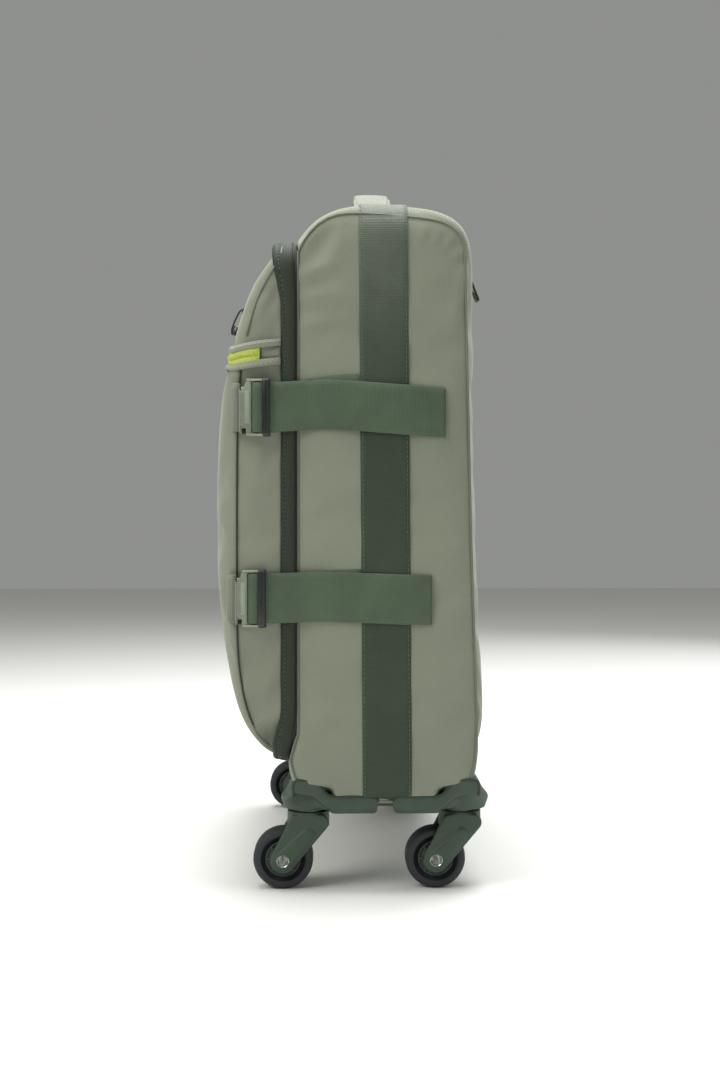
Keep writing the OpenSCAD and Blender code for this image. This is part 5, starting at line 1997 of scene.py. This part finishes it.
def cord_pull(name, top, down, across, body, node, length=20.5, half=3.6, r=0.75):
    """A loop of thin cord through a slider, with a moulded end."""
    d, s = Vector(down).normalized(), Vector(across).normalized()
    n = d.cross(s)
    c = Vector(top)
    path = []
    for u, v in loop_path(length, half):
        path.append(c + (d * u + s * v) * MM)
    ring = recalc(sweep(name, path, ellipse(2 * r * MM, 2 * r * MM, 8), closed=True))
    paint(ring, mat_cord)
    tip_rows = []
    for back, wide in ((-6.5, 1.8), (-5.6, 2.9), (-3.0, 3.3), (0.2, 3.0), (1.4, 1.6)):
        t = length + back
        row = []
        for q in range(14):
            angle = 2 * math.pi * q / 14
            row.append(c + (d * t + s * wide * math.cos(angle)
                            + n * 1.35 * min(1.0, wide / 2.4) * math.sin(angle)) * MM)
        tip_rows.append(row)
    tip = solid("pull_tip", tip_rows)
    paint(tip, mat_black)
    whole = join([ring, tip], name)
    place(whole, body, "black_cord", node)


def webbing_pull(name, top, down, across, body, node, length=36.0, width=8.4):
    """A folded webbing pull: two layers sewn together at the end, open at the slider."""
    d, s = Vector(down).normalized(), Vector(across).normalized()
    n = s.cross(d)
    c = Vector(top)
    outs = []
    gap = 1.1
    total = [(0.0, 0.0), (1.2, gap), (length * 0.45, gap * 0.9), (length * 0.75, gap * 0.55),
             (length - 1.2, gap * 0.5), (length, 0.0), (length - 1.2, -gap * 0.5),
             (length * 0.75, -gap * 0.55), (length * 0.45, -gap * 0.9), (1.2, -gap), (0.0, 0.0)]
    pts = resample([tuple(c + (d * u + n * v) * MM) for u, v in total], 64)
    for i in range(len(pts)):
        t = pts[(i + 1) % len(pts)] - pts[i - 1]
        t = t / (np.linalg.norm(t) + 1e-12)
        outs.append(np.cross(np.array(s), t))
    strap = strap_piece(name, pts, outs, [tuple(s)] * len(pts), width * MM, 0.9 * MM, 0, mat_webbing,
                        uneven=0.0)
    seams = []
    for u in (length - 6.5, length - 3.2):
        for face in (1, -1):
            line = [c + (d * u + s * v + n * face * 1.6) * MM for v in (-3.2, -1.0, 1.0, 3.2)]
            seam = stitches("pull_seam", [tuple(p) for p in line], tuple(n * face), pitch=2.1 * MM,
                            length=1.5 * MM, width=0.45 * MM)
            paint(seam, mat_dark_thread)
            seams.append(seam)
    whole = join(strap + seams, name)
    place(whole, body, "forest_webbing", node)


# the two front sliders: (zip, x, y, z, how far the pull leans forward)
FRONT_SLIDERS = (("upper", 0.060, -0.0809, UPPER_ZIP_Z, 0.33),
                 ("lower", -0.060, -0.0920, 0.392, 0.12))


def zip_hardware():
    """Every slider with its pull."""
    for side, word in SIDES:
        slider_piece("main_slider_piece_" + word, (side * 0.012, ZIP_Y, 0.4732), (side, 0, 0), (0, 0, 1),
                     "main_slider_" + word, "dark_metal")
        webbing_pull("main_pull_piece_" + word, (side * 0.0125, ZIP_Y, 0.4772), (side, 0, 0.0), (0, 1, 0),
                     "main_pull_" + word, "main_pull_" + word, 45.0)
    for level, x, y, z, lean in FRONT_SLIDERS:
        slider_piece(level + "_slider_piece", (x, y, z), (1, 0, 0), (0, -1, 0), level + "_slider",
                     "black_plastic")
        fall = math.sqrt(1 - lean ** 2)
        cord_pull(level + "_pull_piece", (x, y - 0.0046, z - 0.0005), (0, -lean, -fall),
                  (0.55, 0.835 * fall, -0.835 * lean), level + "_pull", level + "_pull")
    slider_piece("back_slider_piece", (0.100, 0.0868, 0.462), (-1, 0, 0), (0, 1, 0), "back_slider",
                 "dark_metal")
    webbing_pull("back_pull_piece", (0.100, 0.0910, 0.4635), (0, 0.40, -0.92), (1, 0, 0), "back_pull",
                 "back_pull", 23.5)


# ---- fabric tucked in behind the guards

GUARD_INNER_X = 162 * MM                # the fabric stays inside this, behind the guards
LID_INNER_X = 167 * MM                  # and inside this, under the zip band


def tuck_in(v, limit, share):
    """Moves a point towards the middle by a share of what lies outside the limit."""
    over = max(0.0, abs(v.co.x) - limit)
    v.co.x -= math.copysign(over * share, v.co.x)


def tuck_corners(obj):
    """Inside the guards the fabric turns in under the case, clear of the seats' flared sides."""
    for v in obj.data.vertices:
        end = max(float(ease((-10 * MM - v.co.y) / (8 * MM))), float(ease((v.co.y - 60 * MM) / (8 * MM))))
        share = end * float(ease((80 * MM - v.co.z) / (9 * MM)))
        tuck_in(v, GUARD_INNER_X, share)


def tuck_lid(obj):
    """The lid's low rear corners turn in under the zip band."""
    for v in obj.data.vertices:
        share = float(ease((0.130 - v.co.z) / 0.020)) * float(ease((v.co.y + 0.070) / 0.012))
        tuck_in(v, LID_INNER_X, share)


# ---- linings

LINING_GAP = 8.0 * MM                   # between the lining and the fabric outside it
LINING_HALF_W = 0.1685
LINING_LOW, LINING_HIGH = 0.0725, 0.4815
QUILT_PITCH = 0.048


def thicken(obj, thickness, offset=-1):
    add_modifier(obj, "SOLIDIFY", thickness=thickness, offset=offset, use_rim=True)
    apply_modifiers(obj)
    shade_smooth(obj)


def main_lining():
    """The body's cloth lining: a bag inside the shell, with its rear wall ahead of the tubes."""
    centre_z = 0.28
    rear = 44 * MM
    rings, last = [], None
    for y in np.linspace(-28 * MM, rear, 16):
        ring = []
        for a in np.radians(np.arange(0, 360, 3)):
            way = Vector((math.cos(a), 0, math.sin(a)))
            hit = main_tree.ray_cast(Vector((0, y, centre_z)), way)
            reach = (hit[3] if hit[0] is not None else 0.17 / max(abs(way.x), 0.1)) - LINING_GAP
            x = float(np.clip(way.x * reach, -LINING_HALF_W, LINING_HALF_W))
            z = centre_z + float(np.clip(way.z * reach, LINING_LOW - centre_z, LINING_HIGH - centre_z))
            fold = 0.7 * MM * noise.noise(Vector((x * 25, y * 60, z * 25)))
            ring.append((x * (1 - abs(fold) / 0.17), y, z))
        rings.append(ring)
        last = ring
    for share in (0.97, 0.90, 0.78, 0.64, 0.50, 0.36, 0.22, 0.10, 0.01):
        ring = []
        for x, _, z in last:
            px, pz = x * share, centre_z + (z - centre_z) * share
            wave = 1.0 * MM * min(1.0, share * 3) * noise.noise(Vector((px * 16, 3.0, pz * 16)))
            ring.append((px, rear - abs(wave), pz))
        rings.append(ring)
    bag = lofted("main_lining_cloth", rings, closed_columns=True)
    bm = bmesh.new()
    bm.from_mesh(bag.data)
    middle = Vector((0, rear, centre_z))
    last_edges = [e for e in bm.edges if e.is_boundary and (e.verts[0].co - middle).length < 12 * MM]
    bmesh.ops.holes_fill(bm, edges=last_edges)
    bm.to_mesh(bag.data)
    bm.free()
    recalc(bag)
    thicken(bag, 0.7 * MM)
    dress(bag, mat_lining, "root", "lining", "main_lining")
    binding = recalc(sweep("main_lining_binding", rings[0], ellipse(4.5 * MM, 1.6 * MM, 10), closed=True))
    dress(binding, mat_tape, "root", "forest_tape")


def lid_lining():
    """The lid's lining: a quilted panel over the divider, bound with tape."""
    low, high = Vector((-0.1565, -0.0639, 0.1185)), Vector((0.1565, -0.0629, 0.4055))
    rows = []
    for z in np.linspace(low.z, high.z, 73):
        row = []
        for x in np.linspace(low.x, high.x, 79):
            quilt = abs(math.sin(math.pi * (x + z) / QUILT_PITCH))
            quilt *= abs(math.sin(math.pi * (x - z) / QUILT_PITCH))
            border = min(x - low.x, high.x - x, z - low.z, high.z - z)
            rise = 1.6 * MM * quilt ** 0.5 * float(ease(border / 0.012))
            row.append((x, low.y + 0.3 * MM + rise, z))
        rows.append(row)
    panel = lofted("lid_lining_cloth", rows)
    thicken(panel, 0.3 * MM, 0)
    dress(panel, mat_lining, "lid", "lining", "lid_lining")
    corner = [(low.x, low.z), (high.x, low.z), (high.x, high.z), (low.x, high.z)]
    path = []
    for (xa, za), (xb, zb) in zip(corner, corner[1:] + corner[:1]):
        for t in np.arange(0, 1, 0.05):
            path.append((xa + (xb - xa) * t, low.y + 0.6 * MM, za + (zb - za) * t))
    binding = recalc(sweep("lid_lining_binding", path, ellipse(4.5 * MM, 1.6 * MM, 10), closed=True,
                           up=[(0, 1, 0)] * len(path)))
    dress(binding, mat_tape, "lid", "forest_tape")


# ---- trolley handle, screws and inner parts

def melted_copy(node, voxel, passes, mat, body):
    """A CAD moulding's own shape with softened edges."""
    piece = melt(cad_copy(node, node + "_piece"), voxel, passes)
    dress(piece, mat, body, "black_plastic", node)


def trolley():
    """The trolley handle's cup, grip and button, and the materials of the plain metal and board parts."""
    melted_copy("trolley_cup", 1.0, 3, mat_black, "root")
    melted_copy("trolley_grip", 0.9, 8, mat_grip, "handle_stage_2")
    ribs = []
    for side in (-1, 1):
        for k in range(9):
            x = side * (28 + 5.2 * k)
            ribs.append(box_piece("grip_rib", (x - 1.1, 50.1, 492.0), (x + 1.1, 50.9, 504.0), 0.35, 2))
    dress(join(ribs, "trolley_grip_ribs"), mat_grip, "handle_stage_2", "black_plastic")
    button = [box_piece("grip_button_piece", (-16, 55, 503), (16, 65, 510.4), 1.6, 4)]
    for k in range(-2, 3):
        button.append(box_piece("button_rib", (k * 5 - 0.7, 56.8, 510.0),
                                (k * 5 + 0.7, 63.2, 510.9), 0.35, 2))
    whole = join(button, "grip_button_piece")
    dress(whole, mat_grey, "button", "grey_plastic", "grip_button")
    for node, mat in (("outer_tubes", mat_tube), ("middle_tubes", mat_tube), ("inner_tubes", mat_tube),
                      ("guard_screws", mat_steel), ("kingpins", mat_steel), ("swivel_bearings", mat_steel),
                      ("back_board", mat_board), ("base_board", mat_board), ("rim_frame", mat_board),
                      ("lid_divider", mat_board)):
        paint(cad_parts[node], mat)


# a darker copy of the moulding colour: painted shade along the guards' top edges
mat_guard_shade = moulded_material("guard_dark_edge", tuple(c * 0.45 for c in MOULDED), 0.6, 0.8 * MM, 0.05)
mat_grip = moulded_material("soft_touch_grip", (0.020, 0.021, 0.022), 0.62, 0.5 * MM, 0.15)

guards()
for word in ("front", "rear"):
    for side in ("right", "left"):
        caster(word, side)
buckle_sockets()
buckle_plugs()
zip_hardware()
trolley()
main_lining()
lid_lining()
for name in ("main_fabric", "main_piping_right", "main_piping_left"):
    tuck_corners(bpy.data.objects[name])
for name in ("lid_fabric", "lid_piping_low_right", "lid_piping_low_left"):
    tuck_lid(bpy.data.objects[name])
for skin in (main_fabric, lid_fabric):
    thicken(skin, 1.0 * MM)
